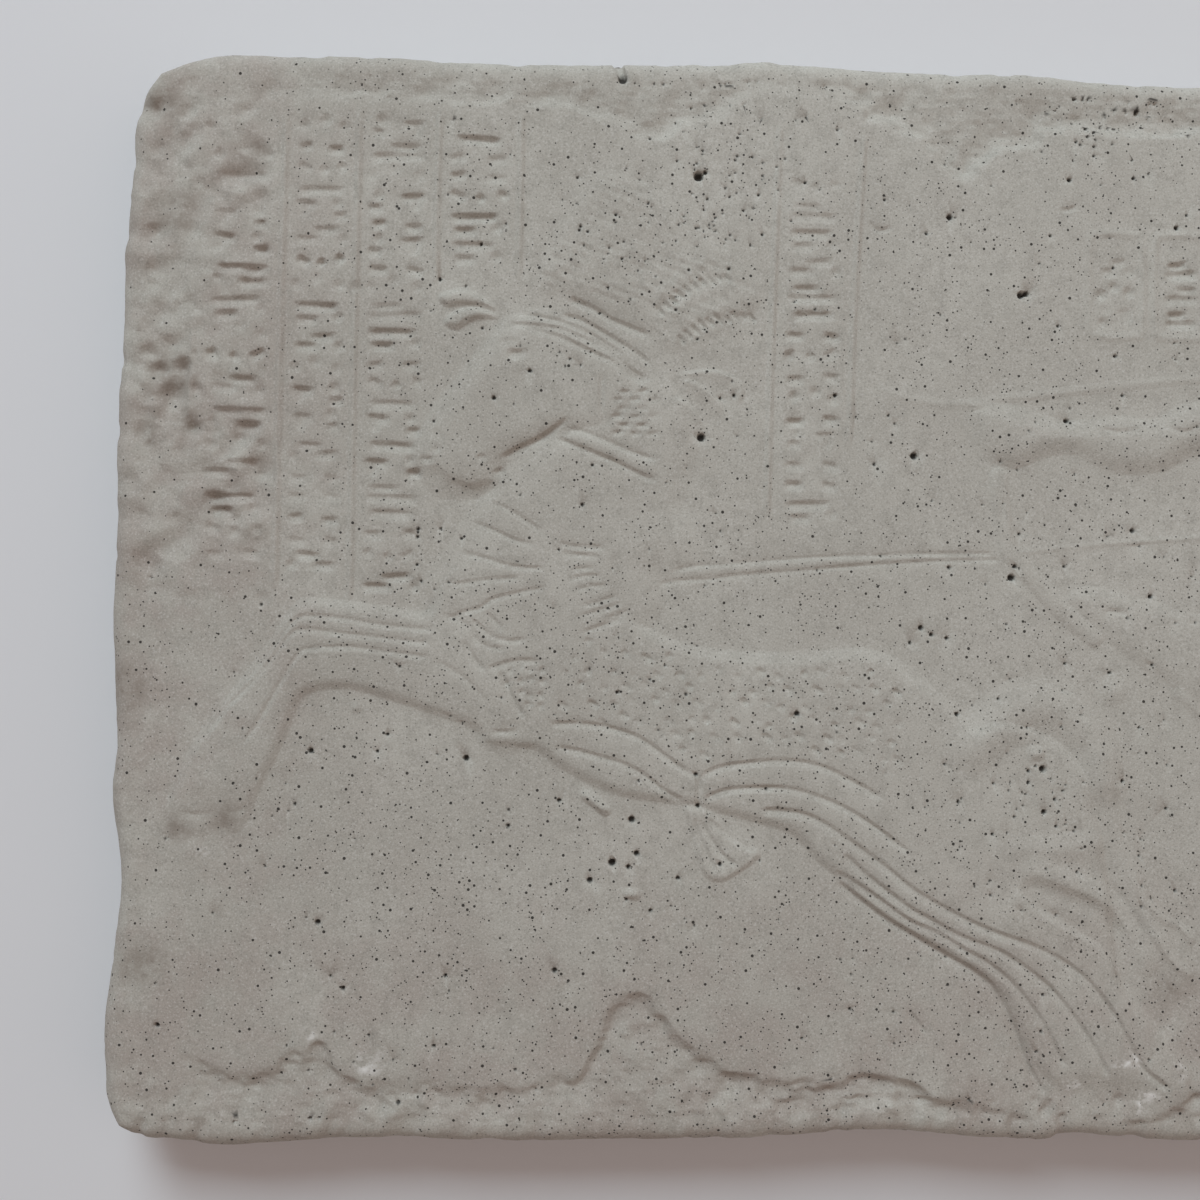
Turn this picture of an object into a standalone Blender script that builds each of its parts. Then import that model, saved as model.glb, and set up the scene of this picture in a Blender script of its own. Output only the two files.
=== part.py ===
"""A relief wall plaque of cast concrete, with horses that draw an archer's chariot in low relief.

The plaque is one solid. It hangs flat against a wall: its back lies in the plane Y = 0, its front faces
-Y, +X runs to the right of someone who looks at it and +Z is up. The origin is the middle of the back.

The relief is drawn on a sheet of its own, in units of about a millimetre, with the sheet's left and lower
edges at DRAWING_LEFT and DRAWING_LOW. The drawing is stretched over the plaque's width and height, and
the depths of the relief are real sizes.
"""

import math

import bmesh
import bpy
import numpy as np

# Sizes of the plaque, in metres
WIDTH = 0.280
HEIGHT = 0.160
THICKNESS = 0.0145
RIM_RADIUS = 0.0030
CELL = 0.00075
TRIANGLES = 9400

# Depths and heights of the relief, in metres
BORDER_DROP = 0.0012
BORDER_RISE_AGAIN = 0.0006
BORDER_LUMPS = 0.00035
FIGURE_RISE = 0.0008
HEAD_RISE = 0.0004
NEAR_RISE = 0.0005
LIMB_RISE = 0.0009
LAYER_LIFT = 0.00022
GROOVE_DEPTH = 0.00050
STROKE_DEPTH = 0.00045
DIVIDER_RISE = 0.00030
REIN_RISE = 0.00035
CHIP_DEPTH = 0.0011

# The drawing sheet, in drawing units
DRAWING_LEFT = -2.0
DRAWING_LOW = -1.2
DRAWING_WIDTH = 285.6
DRAWING_HEIGHT = 163.2
DRAWING_RIGHT = DRAWING_LEFT + DRAWING_WIDTH
DRAWING_TOP = DRAWING_LOW + DRAWING_HEIGHT

# Widths in the drawing, in drawing units
BREAK_SLOPE = 2.2
BORDER_REACH = 9.0
FIGURE_EDGE = 1.6
GROOVE_WIDTH = 1.7
STROKE_WIDTH = 1.6
DIVIDER_WIDTH = 1.5
LAYER_FADE = 4.0
LINE_EASE = 1.5
CURVE_STEP = 1.6

# Corners of the plaque, as the reach of their rounding along X and along Z, in drawing units
CORNER_TOP_LEFT = (17.0, 14.0)
CORNER_LOW_LEFT = (9.0, 8.5)
CORNER_TOP_RIGHT = (14.0, 12.0)
CORNER_LOW_RIGHT = (12.0, 10.0)

# How far the plaque's uneven edges stray outwards, as (place along the edge, stray), in drawing units
STRAY_LEFT = (
    (8, -0.3), (16, 0.2), (36, -1.6), (49, 0.0), (57, -0.5), (68, 0.2),
    (78, 0.7), (88, 0.4), (102, 0.8), (118, 0.3), (130, 0.4), (142, -0.5),
)
STRAY_TOP = (
    (18, -0.7), (32, -0.3), (56, -0.7), (80, 0.1), (87, 0.3), (94, 1.0),
    (99, 0.6), (122, 0.1), (134, 0.4), (146, -0.4), (160, -0.7), (196, 0.1), (236, -0.4), (262, 0.2),
)
STRAY_LOW = (
    (8, 0.1), (17, 1.0), (30, 0.2), (42, -0.1), (60, 0.3), (97, -0.2), (111, -1.2),
    (119, -0.9), (129, -0.2), (138, 0.0), (143, -1.0), (160, 0.3), (190, -0.3), (226, 0.4), (258, -0.2),
)
STRAY_RIGHT = ((20, 0.2), (48, -0.6), (76, 0.5), (104, -0.2), (132, 0.6), (146, 0.0))
STRAY_FADE = 9.0

# Where the level field of the relief breaks off into the worn border
FIELD_TOP = (
    (-6, 150), (8, 150.5), (15, 152.8), (21, 153.8), (44, 153.6), (66, 153.3), (70, 151.5), (74, 149.2),
    (79, 149), (81, 151), (85, 151.2), (89, 154.5), (98, 155.8), (107, 155.2), (110, 152.6), (115, 151),
    (118, 148.6), (122, 145.2), (126, 144.6), (130, 148.6), (137, 149.2), (140, 152), (160, 152.2),
    (178, 152.8), (188, 149.4), (197, 150.2), (206, 153.2), (232, 153), (241, 149), (250, 148.4),
    (258, 151.8), (270, 150), (290, 149),
)
FIELD_LOW = (
    (-6, 17), (4, 16.6), (8, 15.2), (15, 11), (20.5, 10.2), (25, 12.9), (29.5, 14.9), (33, 11.8), (37, 8.9),
    (44, 8.6), (57, 7.9), (64, 9.8), (68, 10.4), (70, 14), (72.5, 19), (76, 21.6), (80, 18.8), (83.5, 14.6),
    (91, 10.2), (99, 8.8), (105, 8.6), (111, 9.9), (118, 8.2), (122, 6.2), (129, 5), (134, 2.4), (140, 1.2),
    (148, 2.4), (155, 4.4), (161, 7.2), (172, 9.6), (186, 8.2), (205, 9.2), (224, 7.4), (243, 9.8),
    (258, 8.4), (270, 12), (290, 13),
)
FIELD_LEFT = (
    (10, -6), (9, 12), (6.5, 20), (5.5, 30), (8, 40), (6.5, 50), (5, 62), (7, 74), (8.5, 88), (7, 98),
    (11, 105), (8, 113), (9, 124), (8, 138), (11, 148), (14, 168),
)
FIELD_RIGHT = (
    (272, -6), (273, 14), (276, 30), (273, 48), (275, 66), (272.5, 84), (275, 104), (273, 122), (275, 140),
    (270, 168),
)

# The near horse, from its muzzle over head, neck and back to its hind hooves and along its belly
HORSE = (
    (43, 98.6), (42.8, 101), (44.2, 104.5), (46.5, 108.6), (49.5, 112.6), (52.3, 116.4), (54.8, 119.8),
    (60, 124.4), (66, 124.4), (73, 121.6), (78.5, 118), (81.2, 112), (81.2, 104), (80.8, 97), (77, 89),
    (74.4, 83), (74.6, 79), (77, 75.6), (83, 73), (90, 71.7), (97, 71.4), (104, 72), (109, 72.2),
    (114, 71), (119, 68), (123.5, 63.6), (127, 60.4), (129.5, 56), (131, 50), (133, 44), (136, 37.4),
    (144.5, 30), (147.5, 26.4), (150.5, 21.6), (155.5, 15.4), (159.6, 9.4), (157.5, 6.2), (149, 5.6),
    (141, 5), (138.2, 7.6), (134.6, 14), (131.5, 20.8), (126, 25.4), (117, 30.6), (110, 35.2),
    (105.6, 39.2), (102.6, 40.8), (100.4, 43.8), (96.5, 45.7), (87, 48), (75.4, 49.8), (69.8, 51.6),
    (61.5, 56.4), (54, 56.2), (51, 59.6), (40, 63.6), (34, 65.3), (29.5, 65.6), (26.4, 64), (23.3, 56.4),
    (19.4, 49.2), (19.4, 46.4), (17.2, 43.9), (14.6, 45.6), (11.5, 43.6), (7.6, 44.2), (6.6, 47.4),
    (9.5, 55), (14, 61.8), (20.4, 70.8), (24.6, 77.8), (27.5, 79), (46, 77.4), (47, 83), (49, 90),
    (51, 94.4), (46.4, 95.7),
)
HORSE_HEAD = (
    (43, 98.6), (42.8, 101), (44.2, 104.5), (46.5, 108.6), (49.5, 112.6), (52.3, 116.4), (54.8, 119.6),
    (59.5, 121.4), (65, 118.8), (69, 113), (69.5, 107.5), (66, 105), (61.5, 103.8), (58.3, 101.9),
    (54.6, 99.5), (53.8, 97), (50.4, 94.9), (46.4, 95.7),
)
PLUME = (
    (60, 125), (59.6, 129), (61.8, 134), (64.6, 139), (67, 142.6), (70.2, 144.6), (75, 142.8),
    (82.5, 138.6), (88, 133.8), (93, 129), (94, 125), (90, 121), (84, 118), (80, 116.6), (75, 120),
    (70, 123), (65, 125),
)
FAR_EAR = ((45, 124.9), (47.6, 125.6), (50.6, 124.8), (53.6, 122.6), (50, 123.1), (46.2, 122.7))
NEAR_EAR = ((46.6, 120.4), (49.2, 122.6), (52.4, 122), (54.6, 120.6), (51, 120.9), (48.6, 119.4))
YOKE_HORN = (
    (80.4, 109.6), (82.6, 113.8), (87, 114.2), (90.2, 113.2), (91.4, 110.8), (90, 108.6), (87.8, 107.6),
    (85.8, 105.2), (84, 107.2),
)
YOKE_KNOB = (80.0, 88.0)
YOKE_KNOB_RADIUS = 6.0
GIRTH_TASSEL = (
    (83, 48.6), (84.3, 44.5), (85.5, 41), (86.8, 38.8), (88.8, 37.9), (91, 38.9), (94.2, 41.9),
    (90.6, 44.6), (87, 48.4),
)

# The tail, its tuft and the far horse's hock behind it, each as the middle line of a rounded band
TAIL = ((127.5, 60.6), (131, 64), (136, 65.8), (141, 65), (145, 62), (147.6, 57), (148.4, 51))
TAIL_TUFT = ((148.4, 51), (149.4, 45), (151.5, 38), (154.5, 31), (158, 24))
FAR_HOCK = ((134.5, 43.6), (139, 41.2), (144, 38.4), (148.5, 34.6), (152, 30.4))
FAR_SHANK = ((152, 30.4), (153.6, 25.6), (156.4, 19.4), (160, 14))
TAIL_BAND = 5.4
HOCK_BAND = 5.2

# The archer and the chariot. Left of about 160 they follow the casting, and right of it they are plainer
ARM = (
    (128.5, 109.6), (131.5, 109.4), (135, 107.8), (139, 106.9), (147, 107.8), (152, 107.4), (161, 110.6),
    (176, 113.4), (192, 118), (200, 117), (200, 106), (186, 104), (170, 104), (161, 103.2), (153, 100.2),
    (149, 100.4), (141, 102.7), (137, 102.4), (133.5, 101.2), (130.5, 101.3), (127.5, 103.3), (126.2, 106),
)
TORSO = (
    (190, 117.5), (197, 120), (214, 120.5), (223, 117), (224, 111), (216, 103), (211.5, 93), (211, 84),
    (213, 79), (195.5, 79), (196, 87), (195.5, 96), (191, 105),
)
ARCHER_HEAD = (
    (203.4, 119), (203, 121.6), (200.7, 122.4), (200.2, 124.3), (199.9, 125.8), (198.9, 127.6),
    (200.5, 129.6), (201.2, 133.4), (203.6, 137), (209, 138.6), (214, 136), (216, 130.6), (214.6, 124.6),
    (212.4, 121.4), (212, 118.4),
)
ARCHER_CAP = (
    (200.9, 133), (202.2, 138.6), (206.4, 144.4), (212.6, 147.6), (219, 146.4), (221.4, 140.4),
    (219.6, 133.4), (216.4, 128.4), (213.4, 130.6), (208, 133.6),
)
BENT_ARM = (
    (212, 120.4), (226, 122.8), (238, 121.6), (241.6, 117), (238, 112.6), (226, 112.6), (206, 114.6),
    (202.6, 116.8), (204.6, 119.6),
)
KILT = ((195.5, 80), (213, 80.5), (219, 70), (223, 57), (222, 50), (192, 50), (193.6, 66))
CHARIOT_FRONT = (
    (139.5, 79.2), (142, 82.4), (147, 82.8), (152, 81.2), (161, 79.4), (176, 78.6), (190, 77.8), (192, 58),
    (176, 60.4), (166, 63.4), (156, 68.3), (147, 74.2), (143, 76.8),
)
CHARIOT_CAB = (
    (186.4, 73), (190.5, 77.4), (206, 76.6), (222, 72.4), (232.6, 63.6), (235, 50), (232.4, 43.6),
    (191, 43.6), (186.6, 48),
)
QUIVER = ((196, 83), (203.5, 86), (226, 55), (218, 50.6))
WHEEL_CENTRE = (216.0, 30.5)
WHEEL_RADIUS = 19.0
WHEEL_RIM_WIDTH = 3.0
WHEEL_HUB_RADIUS = 3.8
WHEEL_SPOKES = 6
SPOKE_WIDTH = 2.2

# Grooves and layer lines
HARNESS_LINES = (
    ((55.4, 120.2), (60, 119.4), (66, 117.5), (70.5, 115.1), (74.5, 112.6), (77.6, 111)),
    ((56.5, 122), (62, 121.9), (67.5, 119.9), (72, 117.4), (77, 113.8)),
    ((65.4, 124.4), (68.4, 123.1), (73.8, 120.6), (77, 118.8), (79.6, 116.8)),
    ((69.6, 113), (69.7, 109.4), (70.6, 105.6)),
    ((53.9, 93.2), (57, 91.6), (61.4, 88.9)),
    ((50.8, 90.6), (55, 89.4), (60.6, 87.2)),
    ((49.6, 85.9), (55, 84.3), (62.4, 83.9)),
    ((47.7, 81), (52, 81.6), (58.6, 82.4)),
    ((47.6, 76), (51.6, 77.8), (56, 79.3), (62, 80.9)),
    ((49.6, 75), (53.6, 68.8), (58, 69.9), (62, 70.6)),
    ((54.6, 68.6), (57.4, 64.6), (60, 60.8)),
    ((66, 78), (70, 79.2), (74.4, 80)),
    ((67, 75.2), (71.5, 76.6), (75.6, 78.4)),
)
BLANKET_LINES = (
    ((63, 60.9), (68, 60.8), (72, 60.2), (76.5, 58.6), (81, 55.6), (84.6, 52.8)),
    ((85.4, 53), (89, 54.6), (95, 55.3), (101, 55), (106, 53.6), (112, 50.9)),
    ((63.6, 57), (69, 56.4), (75.4, 54.7), (79.6, 52), (83.4, 49.6)),
    ((85.6, 49.5), (89, 51.1), (94, 51.7), (101, 51), (107, 48.9), (112, 45.6), (117, 42.2)),
)
HIND_LEG_LINES = (
    (
        (94.5, 48.3), (99, 48.1), (104, 46.6), (110, 42.6), (118, 37), (126, 31.9), (134, 28.8), (140, 26.3),
        (145, 22.5), (148.6, 17), (152, 11.8), (157, 8),
    ),
    (
        (106.5, 42.2), (112, 38), (118, 34), (125.5, 30), (132.5, 26.6), (139, 22), (143.5, 16.2),
        (147.3, 9.8),
    ),
    ((106, 39.2), (113.5, 34.2), (121, 30.4), (129, 26), (133, 22.6), (138, 15.6), (142.4, 9.2)),
)
FORELEG_LINES = (
    ((10.5, 55), (16, 62.5), (22.5, 71), (25.3, 74.8), (28, 75.8), (36, 75.4), (45.7, 74.4)),
    ((15.5, 58), (20.5, 65.3), (26, 72.8), (28.8, 73.8), (36, 73.3), (45.5, 72.4)),
    ((18.5, 57), (22, 63), (27, 70.6), (29.8, 71.6), (38, 71.2), (45.5, 70.2)),
)
THROAT_STRAP = ((63.6, 104), (69.5, 102.2), (78.4, 98.8))
THROAT_STRAP_WIDTH = 2.4
REINS = ((79, 83.2), (86, 84), (96, 84.8), (108, 85.8), (120, 86.3), (131.5, 87))
REIN_END = ((131.5, 87), (145, 88.4), (160, 89.8), (178, 91), (196, 92))
BOW_LIMB = ((130.4, 99), (131.2, 92), (133, 86.4), (138.6, 79)), ((140, 78), (152, 70.4), (163, 63), (172, 57))
ARROW = ((119, 109.4), (136, 111.2), (150, 113), (176, 115.6), (203, 118))
BOWSTRING = ((172, 57), (187, 86), (202.6, 117)), ((203, 118.6), (190, 136), (180, 149))

# Columns of strokes, as (left, right, low, top), and frames with strokes inside them
STROKE_COLUMNS = (
    (10, 21, 84, 149), (22.4, 32.2, 84, 152), (33.4, 43.8, 80, 152), (45.6, 56, 129, 151),
    (96.6, 107.2, 91, 144), (238, 248, 96, 146), (250, 260, 96, 146), (262, 271, 96, 143),
)
STROKE_PITCH = 4.4
FRAMES = ((144, 152.2, 121, 136.6), (154.2, 162.4, 121, 136.6), (166, 174.2, 121, 136.6))
DIVIDERS = (
    (21.8, 80, 153), (32.8, 80, 153), (44.6, 80, 153), (57, 127, 153), (95.8, 92, 152), (107.8, 100, 152),
    (237, 94, 149), (249, 94, 149), (261, 94, 149), (272, 94, 145),
)

# Chips, as (x, z, radius, share of the chip depth)
CHIPS = (
    (4.5, 110, 2.6, 0.9), (7.4, 107.6, 2.4, 1.0), (10.2, 103.4, 2.6, 0.7), (3.8, 101.8, 2.8, 0.8),
    (3.0, 152.5, 3.0, 0.6), (2.8, 135.6, 2.0, 0.5), (14.4, 92.4, 2.6, 0.6), (71.4, 48, 1.6, 0.8),
    (101, 4, 3.0, 0.4), (124, 3.4, 3.0, 0.4), (246, 152, 3.6, 0.5), (276, 88, 3.0, 0.7),
)
MOUNDS = ((75.6, 35.9, 1.8, 0.7), (135.8, 57.3, 2.2, 0.8), (34.3, 62.9, 1.3, 0.5))

CONCRETE_GREY = (0.37, 0.355, 0.325, 1.0)
CONCRETE_ROUGHNESS = 0.88


def clear_scene():
    for item in list(bpy.data.objects):
        bpy.data.objects.remove(item, do_unlink=True)


def eased(value):
    """Rises smoothly from 0 to 1 as value does."""
    value = np.clip(value, 0.0, 1.0)
    return value * value * (3.0 - 2.0 * value)


def smooth_curve(points, closed=False):
    """Points about CURVE_STEP apart along a Catmull-Rom curve through the given points."""
    points = np.asarray(points, float)
    if closed:
        ring = np.vstack([points[-1:], points, points[:2]])
    else:
        ring = np.vstack([2 * points[0] - points[1], points, 2 * points[-1] - points[-2]])
    curve = []
    for before, start, end, after in zip(ring, ring[1:], ring[2:], ring[3:]):
        count = max(1, math.ceil(np.linalg.norm(end - start) / CURVE_STEP))
        for t in np.arange(count) / count:
            curve.append(
                0.5
                * (
                    2 * start
                    + (end - before) * t
                    + (2 * before - 5 * start + 4 * end - after) * t**2
                    + (3 * start - before - 3 * end + after) * t**3
                )
            )
    curve.append(ring[-2])
    return np.array(curve)


def circle(centre, radius, count=28):
    turn = np.linspace(0.0, math.tau, count, endpoint=False)
    return np.stack([centre[0] + radius * np.cos(turn), centre[1] + radius * np.sin(turn)], axis=1)


def uneven(x, z, size, seed):
    """Uneven ground, about -1 to 1, with bumps about size across: waves that cross in every direction."""
    draw = np.random.default_rng(seed)
    total = 0.0
    for _ in range(7):
        turn = draw.uniform(0.0, math.tau)
        length = 2.0 * size * draw.uniform(0.7, 1.5)
        phase = draw.uniform(0.0, math.tau)
        total = total + np.sin(math.tau * (x * math.cos(turn) + z * math.sin(turn)) / length + phase)
    return total / 3.0


class Face:
    """The heights of the relief above the plaque's field, on a grid over the drawing."""

    def __init__(self, columns, rows):
        inset = RIM_RADIUS * DRAWING_WIDTH / WIDTH
        self.inset = inset
        self.x = np.linspace(DRAWING_LEFT + inset, DRAWING_RIGHT - inset, columns + 1)
        self.z = np.linspace(DRAWING_LOW + inset, DRAWING_TOP - inset, rows + 1)
        self.height = np.zeros((rows + 1, columns + 1))

    def window(self, low, high):
        """The rows and columns of the grid between two corners."""
        columns = slice(*np.searchsorted(self.x, (low[0], high[0])))
        rows = slice(*np.searchsorted(self.z, (low[1], high[1])))
        return rows, columns

    def near(self, curve, margin):
        """For the grid within margin of a curve: its window, the distance to the curve, the distance
        across it, positive on the curve's left, and how far along the curve the nearest point is."""
        rows, columns = self.window(curve.min(axis=0) - margin, curve.max(axis=0) + margin)
        x = self.x[columns]
        z = self.z[rows]
        distance = np.full((len(z), len(x)), float(margin))
        across = np.full_like(distance, float(margin))
        along = np.zeros_like(distance)
        run = 0.0
        for start, end in zip(curve, curve[1:]):
            step = end - start
            length = math.hypot(*step)
            if length == 0.0:
                continue
            low = np.minimum(start, end) - margin
            high = np.maximum(start, end) + margin
            part = (
                slice(*np.searchsorted(z, (low[1], high[1]))),
                slice(*np.searchsorted(x, (low[0], high[0]))),
            )
            dx = x[part[1]][None, :] - start[0]
            dz = z[part[0]][:, None] - start[1]
            share = np.clip((dx * step[0] + dz * step[1]) / length**2, 0.0, 1.0)
            here = np.hypot(dx - share * step[0], dz - share * step[1])
            closer = here < distance[part]
            distance[part] = np.where(closer, here, distance[part])
            left = (dz * step[0] - dx * step[1]) / length
            across[part] = np.where(closer, left, across[part])
            along[part] = np.where(closer, run + share * length, along[part])
            run += length
        return (rows, columns), distance, across, along, run

    def inside(self, window, curve):
        """True where the grid of a window lies inside a closed curve."""
        rows, columns = window
        x = self.x[columns]
        z = self.z[rows]
        within = np.zeros((len(z), len(x)), bool)
        for start, end in zip(curve, np.roll(curve, -1, axis=0)):
            low, high = sorted((start[1], end[1]))
            crossed = (z >= low) & (z < high)
            if crossed.any():
                at = start[0] + (z[crossed] - start[1]) * (end[0] - start[0]) / (end[1] - start[1])
                within[crossed] ^= x[None, :] > at[:, None]
        return within

    def rounded_area(self, outline, edge):
        """A window, and there how far inside a smooth closed outline the grid is, as a share of edge
        from 0 on the outline to 1 at edge inside it."""
        curve = smooth_curve(outline, closed=True)
        window, distance, _, _, _ = self.near(curve, edge)
        within = self.inside(window, curve)
        return window, np.where(within, distance / edge, 0.0)

    def raise_area(self, outline, rise, edge=FIGURE_EDGE):
        """Raises a figure to at least the given height, with a rounded edge."""
        window, share = self.rounded_area(outline, edge)
        self.height[window] = np.maximum(self.height[window], rise * np.sin(0.5 * math.pi * share))

    def add_area(self, outline, rise, edge=FIGURE_EDGE):
        """Adds a height to all that an outline holds."""
        window, share = self.rounded_area(outline, edge)
        self.height[window] += rise * np.sin(0.5 * math.pi * share)

    def raise_band(self, points, width, rise):
        """Raises a rounded band along a middle line to at least the given height."""
        window, distance, _, _, _ = self.near(smooth_curve(points), 0.5 * width)
        crown = np.sqrt(np.clip(1.0 - (2.0 * distance / width) ** 2, 0.0, 1.0))
        self.height[window] = np.maximum(self.height[window], rise * crown)

    def line(self, points, depth, width, lift=0.0):
        """Cuts a groove, or raises a bead where depth is negative, and lifts the ground on the line's
        left above the ground on its right. It fades out at both ends."""
        reach = max(0.5 * width, 3.0 * LAYER_FADE if lift else 0.0)
        window, distance, across, along, length = self.near(smooth_curve(points), reach)
        ease = min(LINE_EASE, 0.35 * length)
        ends = eased(np.minimum(along, length - along) / ease)
        cut = np.clip(1.0 - 2.0 * distance / width, 0.0, 1.0) ** 1.2
        self.height[window] -= depth * cut * ends
        if lift:
            fade = np.exp(-distance / LAYER_FADE)
            self.height[window] += lift * np.tanh(4.0 * across / width) * fade * ends

    def dent(self, x, z, radius, depth):
        """Makes a round hollow, or a mound where depth is negative."""
        window = self.window((x - radius, z - radius), (x + radius, z + radius))
        rows, columns = window
        apart = np.hypot(self.x[columns][None, :] - x, self.z[rows][:, None] - z)
        self.height[window] -= depth * eased(1.0 - apart / radius)


def outer_area(path, *corners):
    """A closed outline: a smooth path across the drawing, then corners outside the drawing."""
    return np.vstack([smooth_curve(path), np.array(corners, float)])


def wear_border(face):
    """Drops the worn border below the field outside the field's broken edge."""
    left, right = DRAWING_LEFT - 9, DRAWING_RIGHT + 9
    low, top = DRAWING_LOW - 9, DRAWING_TOP + 9
    areas = (
        outer_area(FIELD_TOP, (right, top), (left, top)),
        outer_area(FIELD_LOW, (right, low), (left, low)),
        outer_area(FIELD_LEFT, (left, top), (left, low)),
        outer_area(FIELD_RIGHT, (right, top), (right, low)),
    )
    drop = np.zeros_like(face.height)
    for curve in areas:
        closed = np.vstack([curve, curve[:1]])
        window, distance, _, _, _ = face.near(closed, BORDER_REACH)
        within = face.inside(window, curve)
        sunk = BORDER_DROP * eased(distance / BREAK_SLOPE) - BORDER_RISE_AGAIN * eased(distance / BORDER_REACH)
        drop[window] = np.maximum(drop[window], np.where(within, sunk, 0.0))
    x = face.x[None, :]
    z = face.z[:, None]
    share = drop / BORDER_DROP
    lumps = 0.6 * uneven(x, z, 6.0, seed=4) + 0.4 * uneven(x, z, 2.8, seed=9)
    face.height += BORDER_LUMPS * lumps * eased(2.0 * share) - drop


def raise_horses(face):
    face.raise_area(HORSE, FIGURE_RISE)
    face.raise_area(PLUME, FIGURE_RISE, edge=2.6)
    for ear in (FAR_EAR, NEAR_EAR):
        face.raise_area(ear, FIGURE_RISE)
    face.raise_area(YOKE_HORN, FIGURE_RISE + HEAD_RISE)
    face.raise_area(GIRTH_TASSEL, FIGURE_RISE)
    face.raise_band(TAIL, TAIL_BAND, LIMB_RISE)
    face.raise_band(TAIL_TUFT, TAIL_BAND, LIMB_RISE)
    face.raise_band(FAR_HOCK, HOCK_BAND, LIMB_RISE)
    face.raise_band(FAR_SHANK, HOCK_BAND, LIMB_RISE)
    face.add_area(HORSE_HEAD, HEAD_RISE)
    face.dent(*YOKE_KNOB, YOKE_KNOB_RADIUS, -NEAR_RISE)


def raise_archer(face):
    face.raise_area(TORSO, FIGURE_RISE)
    face.raise_area(ARCHER_HEAD, FIGURE_RISE)
    face.raise_area(ARM, LIMB_RISE, edge=2.6)
    face.raise_area(ARCHER_CAP, FIGURE_RISE + HEAD_RISE)
    face.raise_area(BENT_ARM, FIGURE_RISE + HEAD_RISE, edge=2.6)
    face.raise_area(KILT, FIGURE_RISE)


def raise_chariot(face):
    face.raise_area(CHARIOT_FRONT, 0.5 * FIGURE_RISE, edge=3.0)
    face.raise_area(CHARIOT_CAB, FIGURE_RISE + HEAD_RISE)
    face.add_area(QUIVER, HEAD_RISE)
    wheel = circle(WHEEL_CENTRE, WHEEL_RADIUS)
    wheel_rise = FIGURE_RISE + NEAR_RISE
    face.raise_band(np.vstack([wheel, wheel[:1]]), WHEEL_RIM_WIDTH, wheel_rise)
    for spoke in range(WHEEL_SPOKES):
        turn = math.tau * (spoke + 0.5) / WHEEL_SPOKES
        rim = (
            WHEEL_CENTRE[0] + WHEEL_RADIUS * math.cos(turn),
            WHEEL_CENTRE[1] + WHEEL_RADIUS * math.sin(turn),
        )
        face.raise_band((WHEEL_CENTRE, rim), SPOKE_WIDTH, wheel_rise)
    face.raise_area(circle(WHEEL_CENTRE, WHEEL_HUB_RADIUS), wheel_rise)


def cut_lines(face):
    for path in HARNESS_LINES + BLANKET_LINES + HIND_LEG_LINES:
        face.line(path, GROOVE_DEPTH, GROOVE_WIDTH)
    for path in FORELEG_LINES:
        face.line(path, 0.4 * GROOVE_DEPTH, GROOVE_WIDTH, lift=-LAYER_LIFT)
    face.line(THROAT_STRAP, -REIN_RISE, THROAT_STRAP_WIDTH)
    face.line(REINS, -REIN_RISE, 2.4)
    face.line(REIN_END, -0.6 * REIN_RISE, 1.6)
    face.line(ARROW, 0.5 * GROOVE_DEPTH, GROOVE_WIDTH)
    for path in BOW_LIMB + BOWSTRING:
        face.line(path, 0.7 * GROOVE_DEPTH, GROOVE_WIDTH)


def cut_stroke_rows(face):
    """Fills each column with rows of short plain strokes, level, bowed or slanting."""
    draw = np.random.default_rng(17)
    for left, right, low, top in STROKE_COLUMNS:
        width = right - left - 3.0
        for row in np.arange(low + 2.0, top - 1.0, STROKE_PITCH):
            start = left + 1.5 + draw.uniform(0.0, 0.2) * width
            end = start + draw.uniform(0.6, 0.8) * width
            bow = draw.uniform(-0.7, 0.7)
            slant = draw.uniform(-0.8, 0.8)
            path = ((start, row - slant), (0.5 * (start + end), row + bow), (end, row + slant))
            face.line(path, STROKE_DEPTH, STROKE_WIDTH)
    for x, low, top in DIVIDERS:
        face.line(((x, low), (x, top)), -DIVIDER_RISE, DIVIDER_WIDTH)
    for left, right, low, top in FRAMES:
        ring = ((left, low), (left, top), (right, top), (right, low), (left, low))
        for start, end in zip(ring, ring[1:]):
            face.line((start, end), -DIVIDER_RISE, DIVIDER_WIDTH)


def chip(face):
    for x, z, radius, share in CHIPS:
        face.dent(x, z, radius, share * CHIP_DEPTH)
    for x, z, radius, share in MOUNDS:
        face.dent(x, z, radius, -share * CHIP_DEPTH)


def carved_face(columns, rows):
    face = Face(columns, rows)
    raise_horses(face)
    raise_archer(face)
    raise_chariot(face)
    wear_border(face)
    cut_lines(face)
    cut_stroke_rows(face)
    chip(face)
    return face


def stray(places, at):
    """How far an uneven edge strays outwards at each place along it."""
    curve = smooth_curve(places)
    return np.interp(at, curve[:, 0], curve[:, 1])


def rounded_corner(x, z, corner, reach, toward):
    """Moves points near a corner of the sheet so that the corner becomes an arc."""
    across = np.clip(1.0 - (x - corner[0]) * toward[0] / reach[0], 0.0, 1.0)
    up = np.clip(1.0 - (z - corner[1]) * toward[1] / reach[1], 0.0, 1.0)
    x = x + toward[0] * reach[0] * across * (1.0 - np.sqrt(1.0 - 0.5 * up**2))
    z = z + toward[1] * reach[1] * up * (1.0 - np.sqrt(1.0 - 0.5 * across**2))
    return x, z


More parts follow.
